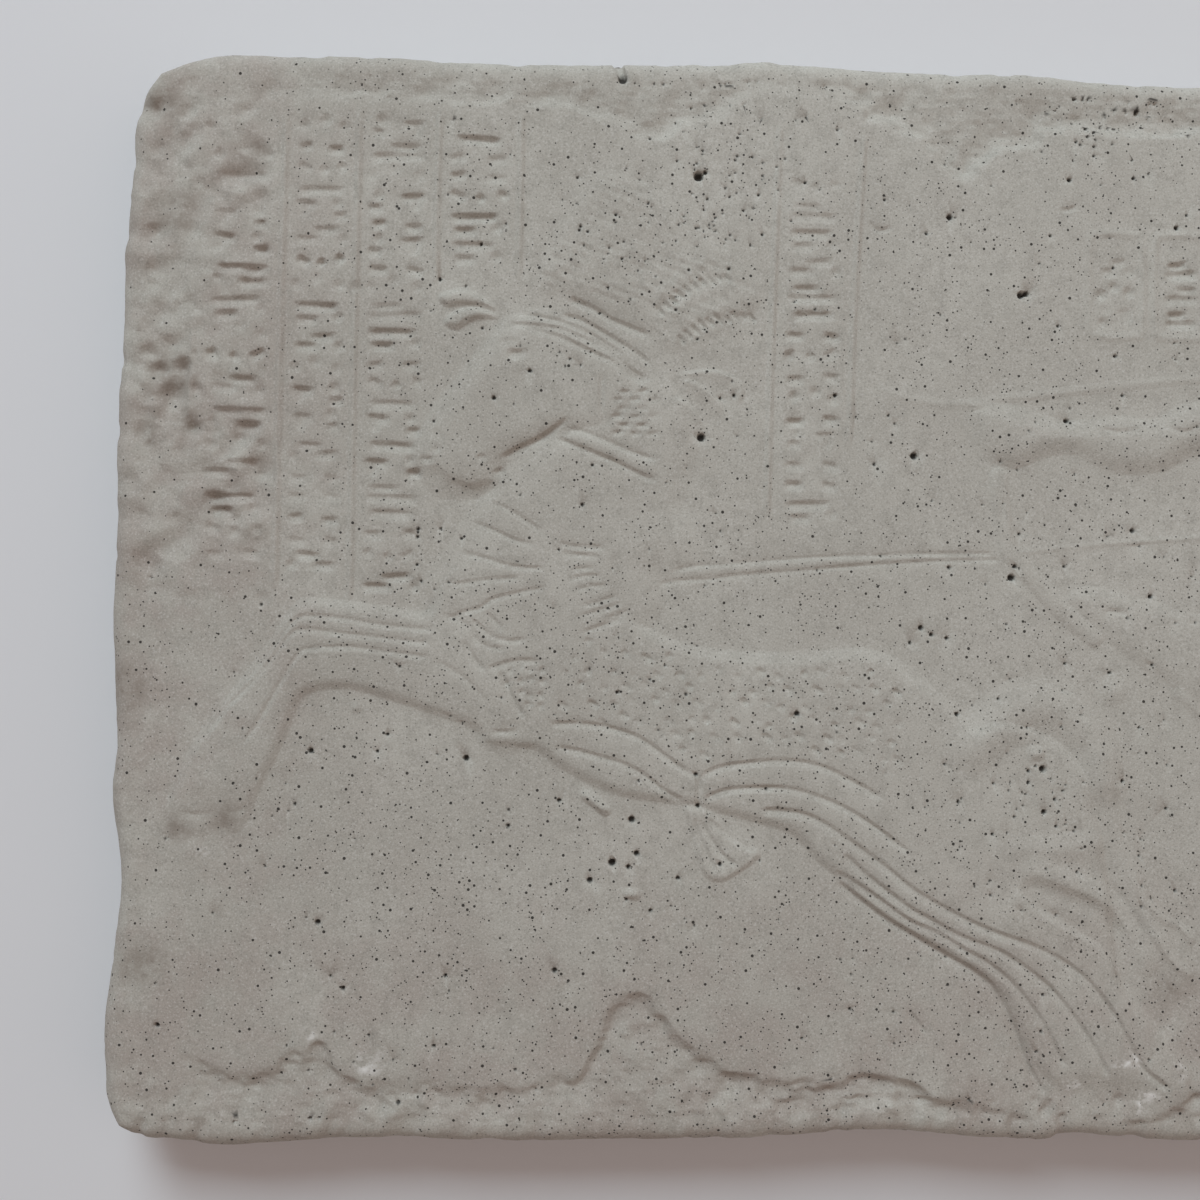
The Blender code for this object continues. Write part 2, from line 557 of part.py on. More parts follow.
def plaque_outline(x, z):
    """Moves the straight-edged sheet's points to the plaque's rounded and uneven outline."""
    from_left = np.exp(-(((x - DRAWING_LEFT) / STRAY_FADE) ** 2))
    from_right = np.exp(-(((DRAWING_RIGHT - x) / STRAY_FADE) ** 2))
    from_low = np.exp(-(((z - DRAWING_LOW) / STRAY_FADE) ** 2))
    from_top = np.exp(-(((DRAWING_TOP - z) / STRAY_FADE) ** 2))
    moved_x = x - stray(STRAY_LEFT, z) * from_left + stray(STRAY_RIGHT, z) * from_right
    moved_z = z - stray(STRAY_LOW, x) * from_low + stray(STRAY_TOP, x) * from_top
    corners = (
        ((DRAWING_LEFT, DRAWING_TOP), CORNER_TOP_LEFT, (1, -1)),
        ((DRAWING_LEFT, DRAWING_LOW), CORNER_LOW_LEFT, (1, 1)),
        ((DRAWING_RIGHT, DRAWING_TOP), CORNER_TOP_RIGHT, (-1, -1)),
        ((DRAWING_RIGHT, DRAWING_LOW), CORNER_LOW_RIGHT, (-1, 1)),
    )
    for corner, reach, toward in corners:
        moved_x, moved_z = rounded_corner(moved_x, moved_z, corner, reach, toward)
    return moved_x, moved_z


# The rings of the sheet from the back edge to the face: the foot and top of the side wall, then the
# quarter round of the rim, as turns from the wall's direction
RIM_TURNS = (0.0, 30.0, 60.0, 90.0)
RINGS = len(RIM_TURNS)


def shape_sheet(mesh, columns, rows):
    """Drapes a flat square grid over the plaque: its face, its rim and its side walls."""
    count = len(mesh.vertices)
    flat = np.empty(3 * count, np.float32)
    mesh.vertices.foreach_get("co", flat)
    flat = flat.reshape(count, 3)
    wide = columns + 2 * RINGS
    high = rows + 2 * RINGS
    across = np.rint((flat[:, 0] + 0.5) * wide).astype(int)
    up = np.rint((flat[:, 1] + 0.5) * high).astype(int)
    ring = np.minimum.reduce([across, wide - across, up, high - up, np.full(count, RINGS)])

    face = carved_face(columns, rows)
    relief = face.height[np.clip(up - RINGS, 0, rows), np.clip(across - RINGS, 0, columns)]

    turns = np.radians((0.0,) + RIM_TURNS)
    inset = face.inset * (1.0 - np.cos(turns))[ring]
    sink = RIM_RADIUS * (1.0 - np.sin(turns))[ring]
    u = (across - ring) / (wide - 2 * ring)
    v = (up - ring) / (high - 2 * ring)
    x = DRAWING_LEFT + inset + u * (DRAWING_WIDTH - 2 * inset)
    z = DRAWING_LOW + inset + v * (DRAWING_HEIGHT - 2 * inset)
    x, z = plaque_outline(x, z)
    depth = np.where(ring == 0, 0.0, THICKNESS + relief - sink)

    points = np.empty((count, 3), np.float32)
    points[:, 0] = ((x - DRAWING_LEFT) / DRAWING_WIDTH - 0.5) * WIDTH
    points[:, 1] = -depth
    points[:, 2] = ((z - DRAWING_LOW) / DRAWING_HEIGHT - 0.5) * HEIGHT
    mesh.vertices.foreach_set("co", points.ravel())
    mesh.update()


def concrete():
    material = bpy.data.materials.new("cast_concrete")
    material.use_nodes = True
    shader = material.node_tree.nodes["Principled BSDF"]
    shader.inputs["Base Color"].default_value = CONCRETE_GREY
    shader.inputs["Roughness"].default_value = CONCRETE_ROUGHNESS
    shader.inputs["Metallic"].default_value = 0.0
    return material


def close_back(mesh):
    """Flattens the open edge into the back plane and closes it with one face."""
    shell = bmesh.new()
    shell.from_mesh(mesh)
    edges = [edge for edge in shell.edges if edge.is_boundary]
    for edge in edges:
        for vertex in edge.verts:
            vertex.co.y = 0.0
    bmesh.ops.holes_fill(shell, edges=edges)
    bmesh.ops.triangulate(shell, faces=[face for face in shell.faces if len(face.verts) > 3])
    bmesh.ops.recalc_face_normals(shell, faces=shell.faces)
    shell.to_mesh(mesh)
    shell.free()


def make_plaque(collection):
    columns = round((WIDTH - 2 * RIM_RADIUS) / CELL)
    rows = round((HEIGHT - 2 * RIM_RADIUS) / CELL)
    bpy.ops.mesh.primitive_grid_add(
        x_subdivisions=columns + 2 * RINGS, y_subdivisions=rows + 2 * RINGS, size=1.0
    )
    sheet = bpy.context.active_object
    shape_sheet(sheet.data, columns, rows)

    thin = sheet.modifiers.new("fewer_faces", "DECIMATE")
    thin.ratio = TRIANGLES / (2.0 * len(sheet.data.polygons))
    thin.use_collapse_triangulate = True
    depsgraph = bpy.context.evaluated_depsgraph_get()
    mesh = bpy.data.meshes.new_from_object(sheet.evaluated_get(depsgraph))
    bpy.data.objects.remove(sheet, do_unlink=True)

    close_back(mesh)
    mesh.name = "plaque"
    mesh.materials.clear()
    mesh.materials.append(concrete())
    mesh.shade_smooth()
    mesh.set_sharp_from_angle(angle=math.radians(40))
    plaque = bpy.data.objects.new("plaque", mesh)
    collection.objects.link(plaque)
    return plaque


def main():
    clear_scene()
    collection = bpy.data.collections.new("relief_wall_plaque")
    bpy.context.scene.collection.children.link(collection)
    make_plaque(collection)


main()
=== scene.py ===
"""The visual model of a relief wall plaque: a slab of cast concrete with galloping horses, an archer and
a chariot in low relief, columns of plain strokes, a worn border and many air-bubble holes.

One piece replaces the CAD solid. Its relief is drawn on the same sheet as the solid's, whose units are
about a millimetre, on a grid fine enough for each carved line. The face is then thinned to few enough
triangles and closed with a flat back, which lies in the plane Y = 0 with the origin in its middle.
"""

import math

import bmesh
import bpy
import numpy as np
from mathutils import Matrix, Vector


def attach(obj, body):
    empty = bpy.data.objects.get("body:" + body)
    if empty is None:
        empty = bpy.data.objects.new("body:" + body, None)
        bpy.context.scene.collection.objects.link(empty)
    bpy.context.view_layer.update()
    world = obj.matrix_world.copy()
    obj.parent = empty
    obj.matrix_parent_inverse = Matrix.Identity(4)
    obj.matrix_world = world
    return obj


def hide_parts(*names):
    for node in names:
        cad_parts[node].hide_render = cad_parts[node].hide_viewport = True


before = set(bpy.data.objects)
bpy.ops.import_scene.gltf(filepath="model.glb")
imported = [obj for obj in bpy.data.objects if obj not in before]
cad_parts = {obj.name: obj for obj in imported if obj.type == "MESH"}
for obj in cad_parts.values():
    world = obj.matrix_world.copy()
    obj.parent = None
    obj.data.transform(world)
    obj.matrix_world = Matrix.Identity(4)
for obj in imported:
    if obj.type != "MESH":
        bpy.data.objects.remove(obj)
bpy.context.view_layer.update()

MM = 0.001

# The plaque, in millimetres
WIDTH = 280.0
HEIGHT = 160.0
THICKNESS = 14.5
RIM_RADIUS = 3.0
TRIANGLES = 188000

# The drawing sheet, in drawing units
DRAWING_LEFT = -2.0
DRAWING_LOW = -1.2
DRAWING_WIDTH = 285.6
DRAWING_HEIGHT = 163.2
DRAWING_RIGHT = DRAWING_LEFT + DRAWING_WIDTH
DRAWING_TOP = DRAWING_LOW + DRAWING_HEIGHT
UNIT = WIDTH / DRAWING_WIDTH
CELL = 0.21
CURVE_STEP = 0.7

# The rings of cells around the face's grid: on the side wall, and round the rim's quarter turn
WALL_STEPS = 12
RIM_STEPS = 8
RINGS = WALL_STEPS + RIM_STEPS

# Depths and heights of the relief, in millimetres
BORDER_DROP = 1.1
BORDER_RISE_AGAIN = 0.6
BORDER_LUMPS = 0.34
FIGURE_RISE = 0.68
FIGURE_SWELL = 0.22
HEAD_RISE = 0.25
LIMB_RISE = 0.85
WHEEL_RISE = FIGURE_RISE + 0.4
GROOVE_DEPTH = 0.4
FINE_DEPTH = 0.3
STROKE_DEPTH = 0.55
DIVIDER_RISE = 0.42
DIVIDER_TROUGH = 0.18
FIELD_UNEVENNESS = 0.07
PLUME_UNEVENNESS = 0.15
WALL_WEAR = 0.22
WALL_NICKS = 0.3
NICK_SIZE = 3.0
NICK_LEVEL = 0.45

# Widths in the drawing, in drawing units
TOP_SLOPE = 2.8
LOW_SLOPE = 0.8 * TOP_SLOPE
LEFT_SLOPE = 2.2 * TOP_SLOPE
RIGHT_SLOPE = 1.4 * TOP_SLOPE
BORDER_REACH = 8.0
OUTSIDE = 9.0
FIGURE_EDGE = 1.9
SOFT_EDGE = 4.0
SWELL_REACH = 7.0
GROOVE_WIDTH = 1.1
FINE_WIDTH = 0.9
STEEP_SIDE = 0.6
STROKE_WIDTH = 1.7
DIVIDER_WIDTH = 1.3
TROUGH_WIDTH = 3.4
FRAME_EDGE = 0.8
FRAME_MARGIN = 1.0
LAYER_FADE = 3.0
LINE_EASE = 1.6

# How much the carving's depth varies from place to place, and over what distance
VIGOUR_SPREAD = 0.22
VIGOUR_SIZE = 5.0

# How sharp a groove's bottom is, and how suddenly a worn part begins
GROOVE_SHARPNESS = 1.3
WEAR_SHARPNESS = 1.6

# Uneven ground: how many waves cross, the range of their lengths in bump widths, and the sum of the waves
# that counts as 1
WAVES = 9
WAVE_LENGTHS = (0.6, 1.6)
WAVES_HEIGHT = 3.4

# Layers of uneven ground, as (share, size of its bumps, seed); the wall's sizes are in millimetres
RAGGED_LAYERS = ((1.0, 1.8, 21), (0.5, 0.8, 22))
LUMP_LAYERS = ((0.45, 5.0, 4), (0.4, 2.2, 9), (0.25, 1.0, 12))
PLUME_LAYERS = ((0.6, 0.75, 63), (0.5, 1.7, 64))
FIELD_LAYERS = ((0.6, 11.0, 73), (0.4, 3.5, 74))
WALL_LAYERS = ((0.3, 4.0, 81), (0.2, 1.6, 82))

# Corners of the plaque, as the reach of their rounding along X and along Z, in drawing units
CORNER_TOP_LEFT = (17.0, 14.0)
CORNER_LOW_LEFT = (9.0, 8.5)
CORNER_TOP_RIGHT = (14.0, 12.0)
CORNER_LOW_RIGHT = (12.0, 10.0)

# How far the plaque's uneven edges stray outwards, as (place along the edge, stray), in drawing units
STRAY_LEFT = (
    (8, -0.3), (16, 0.2), (36, -1.6), (49, 0.0), (57, -0.5), (68, 0.2),
    (78, 0.7), (88, 0.4), (102, 0.8), (118, 0.3), (130, 0.4), (142, -0.5),
)
STRAY_TOP = (
    (18, -0.7), (32, -0.3), (56, -0.7), (80, 0.1), (87, 0.3), (94, 1.0),
    (99, 0.6), (122, 0.1), (134, 0.4), (146, -0.4), (160, -0.7), (196, 0.1), (236, -0.4), (262, 0.2),
)
STRAY_LOW = (
    (8, 0.1), (17, 1.0), (30, 0.2), (42, -0.1), (60, 0.3), (97, -0.2), (111, -1.2),
    (119, -0.9), (129, -0.2), (138, 0.0), (143, -1.0), (160, 0.3), (190, -0.3), (226, 0.4), (258, -0.2),
)
STRAY_RIGHT = ((20, 0.2), (48, -0.6), (76, 0.5), (104, -0.2), (132, 0.6), (146, 0.0))
STRAY_FADE = 9.0

# Where the level field of the relief breaks off into the worn border
FIELD_TOP = (
    (-6, 150), (8, 150.5), (14, 152.4), (21, 153.5), (32, 153.3), (44, 153.6), (54, 153.2), (63, 153.4),
    (68, 151.5), (71, 150.6), (74, 149), (79, 148.7), (81.5, 150.6), (85, 150.8), (88, 152.4), (91.5, 155),
    (97, 155.7), (107, 155.2), (108.6, 152.2), (111.5, 152.3), (114, 151.3), (116.4, 149.8), (119, 147.9),
    (122, 144.7), (124.5, 143.6), (126.5, 144.2), (128.6, 146.8), (131, 148.7), (137, 149.3),
    (139.4, 151.7), (150, 151.5), (160, 151.9), (172, 152.5), (184, 151.2), (189, 148.8), (197, 149.6),
    (204, 152.6), (222, 153), (236, 151.6), (242, 148.6), (250, 147.6), (257, 151), (270, 150), (290, 149),
)
FIELD_LOW = (
    (-6, 17), (4, 16.2), (7.5, 14.9), (10, 13.5), (12.5, 12), (15, 10.7), (18.5, 9.9), (22, 10.2),
    (24, 11.6), (25.6, 13.1), (27.4, 12.8), (29.2, 14.5), (30.8, 14), (32.4, 11.6), (34, 9.6), (37, 8.4),
    (40, 9), (43.6, 8.2), (47, 8.8), (51, 7.9), (56, 7.7), (60.4, 8), (63.6, 9.4), (65.6, 9.8),
    (67.2, 9.2), (68.6, 11), (70.4, 15), (72, 19.3), (74, 21.1), (77.4, 21.4), (80, 19.3), (82, 16.6),
    (84.6, 13.9), (88, 12.2), (91, 10.1), (95, 9.5), (99, 8.7), (102, 9), (104.4, 8), (108.4, 9.3),
    (111, 9.9), (115, 9), (118.6, 8), (121, 6.2), (125, 5.8), (129.6, 4.9), (133, 3.2), (139, 1.6),
    (147, 2.3), (152, 3), (156, 4.7), (160, 6.8), (166, 8.3), (176, 9.6), (190, 8.4), (207, 9.4),
    (224, 7.4), (243, 9.8), (258, 8.4), (270, 12), (290, 13),
)
FIELD_LEFT = (
    (10, -6), (9, 12), (6.5, 20), (5.5, 30), (8, 39), (6.8, 50), (5, 62), (7, 74), (8.5, 88), (7.4, 98),
    (10.6, 105), (8, 113), (9, 124), (8, 138), (11, 148), (14, 168),
)
FIELD_RIGHT = (
    (272, -6), (273, 14), (276, 30), (273, 48), (275, 66), (272.5, 84), (275, 104), (273, 122), (275, 140),
    (270, 168),
)

# How strongly the field breaks off along its top and low edges, as (x, share of the full drop)
TOP_STRENGTH = ((18, 0.05), (24, 0.45), (70, 0.6), (82, 1.0), (92, 0.4), (104, 0.4), (110, 1.3))
LOW_STRENGTH = (
    (9, 0.0), (13, 0.85), (33, 0.85), (38, 0.5), (62, 0.5), (68, 0.9), (122, 1.0), (131, 0.25), (146, 0.3),
    (152, 0.8),
)
LEFT_STRENGTH = 0.4
RIGHT_STRENGTH = 0.8
RAGGEDNESS = 0.35
# Where the lumps spread over the field at the left: none right of the first x, all of them left of the
# second, and only a share of them low down, from the first z up to the second
LEFT_LUMPS = 0.6
LEFT_LUMPS_X = (24.0, 6.0)
LEFT_LUMPS_Z = (72.0, 96.0)
LEFT_LUMPS_LOW = 0.2
# How soon the lumps reach their full height as the border drops
LUMPS_START = 2.5

# The near horse: its outline from the muzzle over head, neck and back to the hooves and along the belly
HORSE = (
    (46, 82), (44.5, 77.4), (38, 77.9), (32, 78.6), (27, 78.9), (24.6, 77.8), (22.2, 74), (19.4, 69.8),
    (13.8, 62), (10, 56.6), (8.2, 52), (6.5, 48), (7, 45.5), (8.8, 44.1), (11.4, 43.4), (13.4, 44),
    (14.7, 45.7), (16.4, 44), (18, 44.7), (19.3, 47), (20.6, 50.7), (22.8, 55.2), (24.6, 59.6),
    (26.1, 63.6), (28, 64.9), (31, 65.4), (34.4, 65.2), (39.6, 63.7), (45.2, 62), (51.4, 59.8),
    (54, 57.6), (60.3, 56.9), (64.2, 54.3), (69.8, 51.4), (75.4, 49.7), (84.4, 48.6), (94, 46.3),
    (98.6, 45), (101, 43), (102.8, 41), (106, 38.4), (109.6, 35), (113.4, 32.3), (117, 30.2),
    (124.4, 26.1), (128.6, 23.5), (131.2, 21), (132.5, 18.5), (134.5, 14), (136.5, 10.5), (139.5, 7),
    (143, 3), (150, 1.5), (158, 3), (160, 9), (157, 14), (153.6, 17.6), (151.2, 20.6), (149.2, 23.6),
    (148, 33), (147, 40), (145.5, 48), (142.5, 56), (137, 60.5), (130, 62), (126.4, 61), (124.4, 63.2),
    (122.4, 65), (120, 67.2), (117.2, 69.1), (115.4, 70.6), (113.2, 71.7), (110.1, 72.3), (108.3, 72.5),
    (104.6, 72.1), (100, 71.6), (95.4, 71.5), (90.2, 71.7), (86.8, 72), (84, 72.5), (81.6, 73.4),
    (78.2, 74.9), (75, 77.6), (72, 84), (62, 88), (52, 87),
)
NECK = (
    (44, 80), (47, 87), (51, 93), (56, 99), (62, 104.5), (70, 111), (77, 113.5), (83, 110), (84.6, 103),
    (83, 96), (80.5, 90), (79, 84), (79, 77), (72, 70), (56, 70),
)
HORSE_HEAD = (
    (41.8, 98.4), (41.4, 101), (43, 104.8), (45.4, 109), (48.6, 113.2), (51.6, 117.2), (54.6, 121),
    (60, 123), (67, 121), (73, 116), (75.5, 109), (71, 104), (66.4, 103.6), (62, 103.2), (58.3, 101.2),
    (55.2, 99), (54.6, 96), (50.4, 93.8), (45.4, 94.4),
)
MOUTH = ((42.6, 100.1), (43.8, 99.9), (45.2, 99.7))
CHIN = ((44.6, 99.1), (46.2, 97.2), (48.4, 96), (51.3, 95.4), (54.3, 96.8))
LIP = ((51.2, 99.6), (52, 100.4), (53, 99.8))
CHIN_FOLD = ((53.4, 97.6), (54.8, 98.4), (55.8, 98.2))
JAW = ((54.6, 100), (56.6, 101.3), (58.5, 102.3), (60.3, 103.2), (62, 104.3), (65, 106.6))
NOSE_WING = ((44.8, 104.6), (45.8, 103.2), (46.5, 102))
EYE = ((55.4, 116.2), (57, 116), (58.7, 116.3))
BROW = ((54, 117), (55.4, 117.9), (57.6, 117.8))
# Rounded parts of the horses, as (x, z, radius, depth), where a negative depth is a mound: the cheek, the
# far horse's tail and the yoke's knob, then the muzzle, the nostril and the pouch under the eye
HORSE_MOUNDS = ((64, 111.4, 7.5, -0.25), (148, 66.8, 2.8, -0.4), (80, 88, 6.2, -0.6))
HEAD_MOUNDS = ((48.2, 99.4, 5.2, -0.3), (45.4, 101.3, 1.0, 0.35), (56.7, 114.3, 1.9, -0.2))
FAR_EAR = (
    (45, 124.3), (46.6, 125.3), (49.4, 125.6), (52, 124.3), (54, 122.5), (51, 123), (48, 123), (46.2, 122.8),
)
NEAR_EAR = (
    (46, 120.2), (47, 121.9), (49.6, 122.9), (52, 122.6), (54.2, 121.3), (51.6, 121.1), (49.8, 120.5),
    (48, 119.4),
)
# The harness on head and neck
HEADSTALL = (
    ((58.2, 119.7), (60.9, 119.3), (63.7, 118.5), (66.1, 117.4), (69.2, 116), (71.7, 115), (73.8, 113.4),
     (76.9, 111.9)),
    ((55.4, 120.5), (60.9, 120.1), (63.7, 119.8), (66.1, 118.9), (69.2, 117.7), (71.5, 116.3), (74.4, 113.9),
     (77.5, 112.3)),
    ((56.9, 122.3), (60, 121.7), (63.1, 121.1), (65, 120.5), (67.7, 119.4), (70.7, 117.7), (73, 116)),
    ((63.4, 122.1), (66.1, 121.6), (68.6, 120.4), (72.3, 118.3), (75.3, 116.5), (77.4, 114.6)),
)
POLL_STRAP = ((64.4, 124.9), (67.7, 123.5), (69.4, 122.7), (71.2, 121.6), (73.8, 120.6), (77.4, 119.1))
CHEEK_STRAP = ((70.1, 113.4), (69.8, 110.7), (70, 107.7), (71.1, 105))
BLINKER = ((71.4, 104.2), (71.2, 111), (75, 111.6), (78.2, 109.4), (78, 104), (75, 103.2))
THROAT_BAND = ((64.4, 104), (67.2, 103.2), (70.2, 102), (73, 100.8), (76, 99.4), (78.6, 98.7))
THROAT_GROOVES = (
    ((64.8, 105), (67.7, 104.3), (70.7, 103.1), (73.8, 101.8), (78.4, 100.3)),
    ((63, 103.6), (66.4, 102.2), (69.5, 101), (72.3, 99.9), (75.3, 98.4), (78.4, 97.2)),
)
# The blinker's short cuts: (length, gap along the row, gap between rows), ranges of their rise and depth,
# and the margins left free at the left, below, at the right and above
BLINKER_CUTS = (2.2, 2.7, 1.25)
BLINKER_RISES = (0.1, 0.6)
BLINKER_DEPTHS = (0.25, 0.5)
BLINKER_MARGINS = (0.6, 1.4, 2.0, 1.0)
BLINKER_EDGE = 0.4
HORN_FOLDS = (
    ((81, 113), (82.4, 113.6), (85.9, 114), (88.6, 113.5), (90.4, 112.4), (91, 110.8), (90.2, 108.9)),
    ((81.4, 112.6), (82.9, 112.4), (84.7, 111.6), (86.2, 110.5), (87.5, 109.2), (88.4, 107.4)),
    ((79.6, 109.7), (80.6, 109.6), (82.3, 109.1), (83.6, 107.9), (84.7, 106.3), (85.1, 104.9)),
)
REINS = (
    ((80.6, 83.9), (84.7, 84.7), (88.7, 85), (96.6, 85.8), (104, 86.4), (112.3, 86.8), (118.4, 87.1),
     (130, 87.4)),
    ((78.4, 81.7), (81.6, 82.4), (86.2, 82.7), (90.2, 83.3), (98.5, 84.1), (107.7, 85), (118.4, 85.9),
     (131, 86.5)),
)
REIN_BODY = ((82, 83.6), (90, 84.3), (98.5, 85), (108, 85.9), (120, 86.5))
REIN_END = ((132.5, 87.4), (139, 88.2), (155, 89.8), (178, 91), (196, 92))

# The collar's pleats, left of the neck and right of it
COLLAR = (
    ((53.6, 93.7), (56, 92.7), (58.8, 91), (61.5, 89.1)),
    ((50.6, 90.8), (54, 89.5), (57, 88.1), (60.4, 87.2)),
    ((49.2, 86.2), (53, 85.2), (56.9, 84.1), (62, 83.8)),
    ((47.4, 81.2), (50, 81.5), (52.3, 81.9), (58.5, 82.5)),
    ((47.2, 75.8), (49.9, 77.2), (52.3, 77.8), (54, 79.1), (58.5, 80.3), (62.2, 81.1)),
    ((53, 77.3), (54.6, 75.9), (56, 74.2)),
    ((50.8, 76.5), (52.6, 74.8), (54.2, 73.6), (56.9, 73), (59.4, 73.4)),
    ((50.4, 74.2), (52, 73), (53.6, 72.1), (56.6, 71.8)),
    ((63.4, 87.9), (66.4, 87.2), (71, 87.2)),
    ((64, 86.3), (66.6, 86), (70.1, 85.8)),
    ((65.4, 83.6), (67.4, 84), (69.3, 84)),
    ((64.9, 82.2), (68, 82.9), (70.6, 82.8)),
    ((65.8, 80.6), (69.2, 81.4), (71.4, 81.2)),
    ((66.8, 78.2), (70.7, 79.3), (73, 80.2)),
    ((66.6, 76.7), (70.7, 78), (73.6, 79)),
    ((70.4, 76.3), (72.6, 77.1), (74.8, 77.9)),
    ((67, 74.2), (70.1, 75.4), (74.2, 77)),
)
COLLAR_EDGES = (
    ((53.3, 68.8), (55, 69.3), (58, 70.1), (61.6, 70)),
    ((49.8, 73.4), (51.4, 70.6), (53.4, 68.2)),
    ((55.2, 69.2), (56.7, 65.9), (58, 63.4), (59.3, 61.4)),
)
# The spots on the breast: where they lie, as (left, low, right, top), their pitch and stray, and the
# radius and depth of each; no spot lies in the low left corner, cut off at the slope
BREAST = (56.6, 63.6, 62.6, 69.4)
BREAST_PITCH = 1.7
BREAST_STRAY = 0.4
BREAST_SLOPE = 1.2
BREAST_CORNER = 3.0
BREAST_SPOT = (0.75, 0.4)
BELLY_KNOT = ((51.9, 58.6), (53, 57), (55.8, 56), (58.6, 56.4), (61, 58), (58.4, 59.2), (55.4, 59.4))
KNOT_LINE = ((53.8, 59.7), (56.4, 59.5), (58.4, 60))
# The plume on the head, its bands and the rows of hatches at its foot
PLUME = (
    (60, 125), (59.6, 129), (61.8, 134), (64.6, 139), (67, 142.6), (70.2, 144.6), (75, 142.8),
    (82.5, 138.6), (88, 133.8), (93, 129), (94, 125), (90, 121), (84, 118), (80, 116.6), (75, 120),
    (70, 123), (65, 125),
)
PLUME_BANDS = (
    ((60.4, 128.6), (64, 129.6), (66.4, 131)),
    ((77, 124.4), (80.4, 127.2), (83.4, 129.6), (86, 131)),
    ((79.6, 122.4), (83, 124.6), (86.4, 126), (89.6, 126.4), (93.6, 124)),
)
HATCH_ROWS = (
    ((81.4, 118.4), (83.2, 119.9), (85.4, 121.3), (87.6, 122), (91.6, 122.6), (93.4, 121.9)),
    ((78, 122.8), (80.1, 124.3), (82.7, 126.5), (85.9, 127.9), (89.6, 128.4)),
)
# The hatches: their pitch, half of one's run along X and Z, the range of their lengths, and their depth and
# width. The plume's roughness fades out over its edge.
HATCH_PITCH = 1.3
HATCH_HALF = (0.726, -0.825)
HATCH_LENGTHS = (0.85, 1.25)
HATCH_CUT = (0.5, 0.85)
PLUME_EDGE = 2.0
# The blanket on the body
BLANKET = (
    (65, 62.4), (64.4, 70), (70, 74.6), (76, 73.6), (82.6, 70.8), (90, 69.4), (103, 69.6), (110, 69.6),
    (115, 66.4), (117.4, 60.6), (114.4, 54), (107, 56), (98, 58), (90.4, 57.4), (84, 56.6), (76, 60.6),
)
# The slanted spots on the blanket: rows and columns as (start, end, pitch), the stray along X and Z, the
# range of their half length and of their depth, and their slant
BLANKET_ROWS = (52.0, 75.0, 2.4)
BLANKET_COLUMNS = (64.0, 118.0, 3.2)
BLANKET_STRAY = (0.9, 0.7)
BLANKET_HALVES = (0.4, 1.0)
BLANKET_DEPTHS = (0.15, 0.5)
BLANKET_SLANT = 0.7
# The blanket's folded edges, its girth's tassel, and a seam of the mould
BLANKET_LINES = (
    ((62.6, 60.8), (67, 60.9), (71, 60.5), (75, 59.4), (78, 57.8), (81, 55.6), (84.7, 53.2)),
    ((85.2, 53.1), (88, 54.6), (91.7, 55.3), (98.5, 55.8), (104, 54.8), (109, 52.4), (113, 50.2)),
    ((63.4, 57.4), (67, 56.9), (70.5, 56), (74, 55), (77, 53.4), (80, 51.2), (83.4, 49.4)),
    ((85.6, 49.6), (88, 50.9), (91.4, 51.6), (98, 51.7), (104, 50.2), (110, 47.2), (117, 42.2)),
)
GIRTH_TASSEL = (
    (83, 48.8), (83.9, 46), (84.5, 43.4), (85.2, 40.6), (86.4, 38.3), (88.6, 37.5), (91, 38.6),
    (94.6, 41.6), (92.6, 43.6), (89.4, 45.6), (86.6, 48.4),
)
TASSEL_LINES = (
    ((84.6, 47.4), (85.4, 44.6), (86.8, 41.4), (88.2, 38.8)),
    ((85.4, 47.2), (87.2, 44), (89.2, 41.4), (91.4, 40)),
    ((86.2, 47.4), (89, 45.2), (91.8, 43.4), (94, 42.2)),
)
GIRTH_MEETS = ((85, 48.2), (85.1, 51), (84.9, 54))
MOULD_SEAM = ((118.4, 57.6), (118.2, 50))

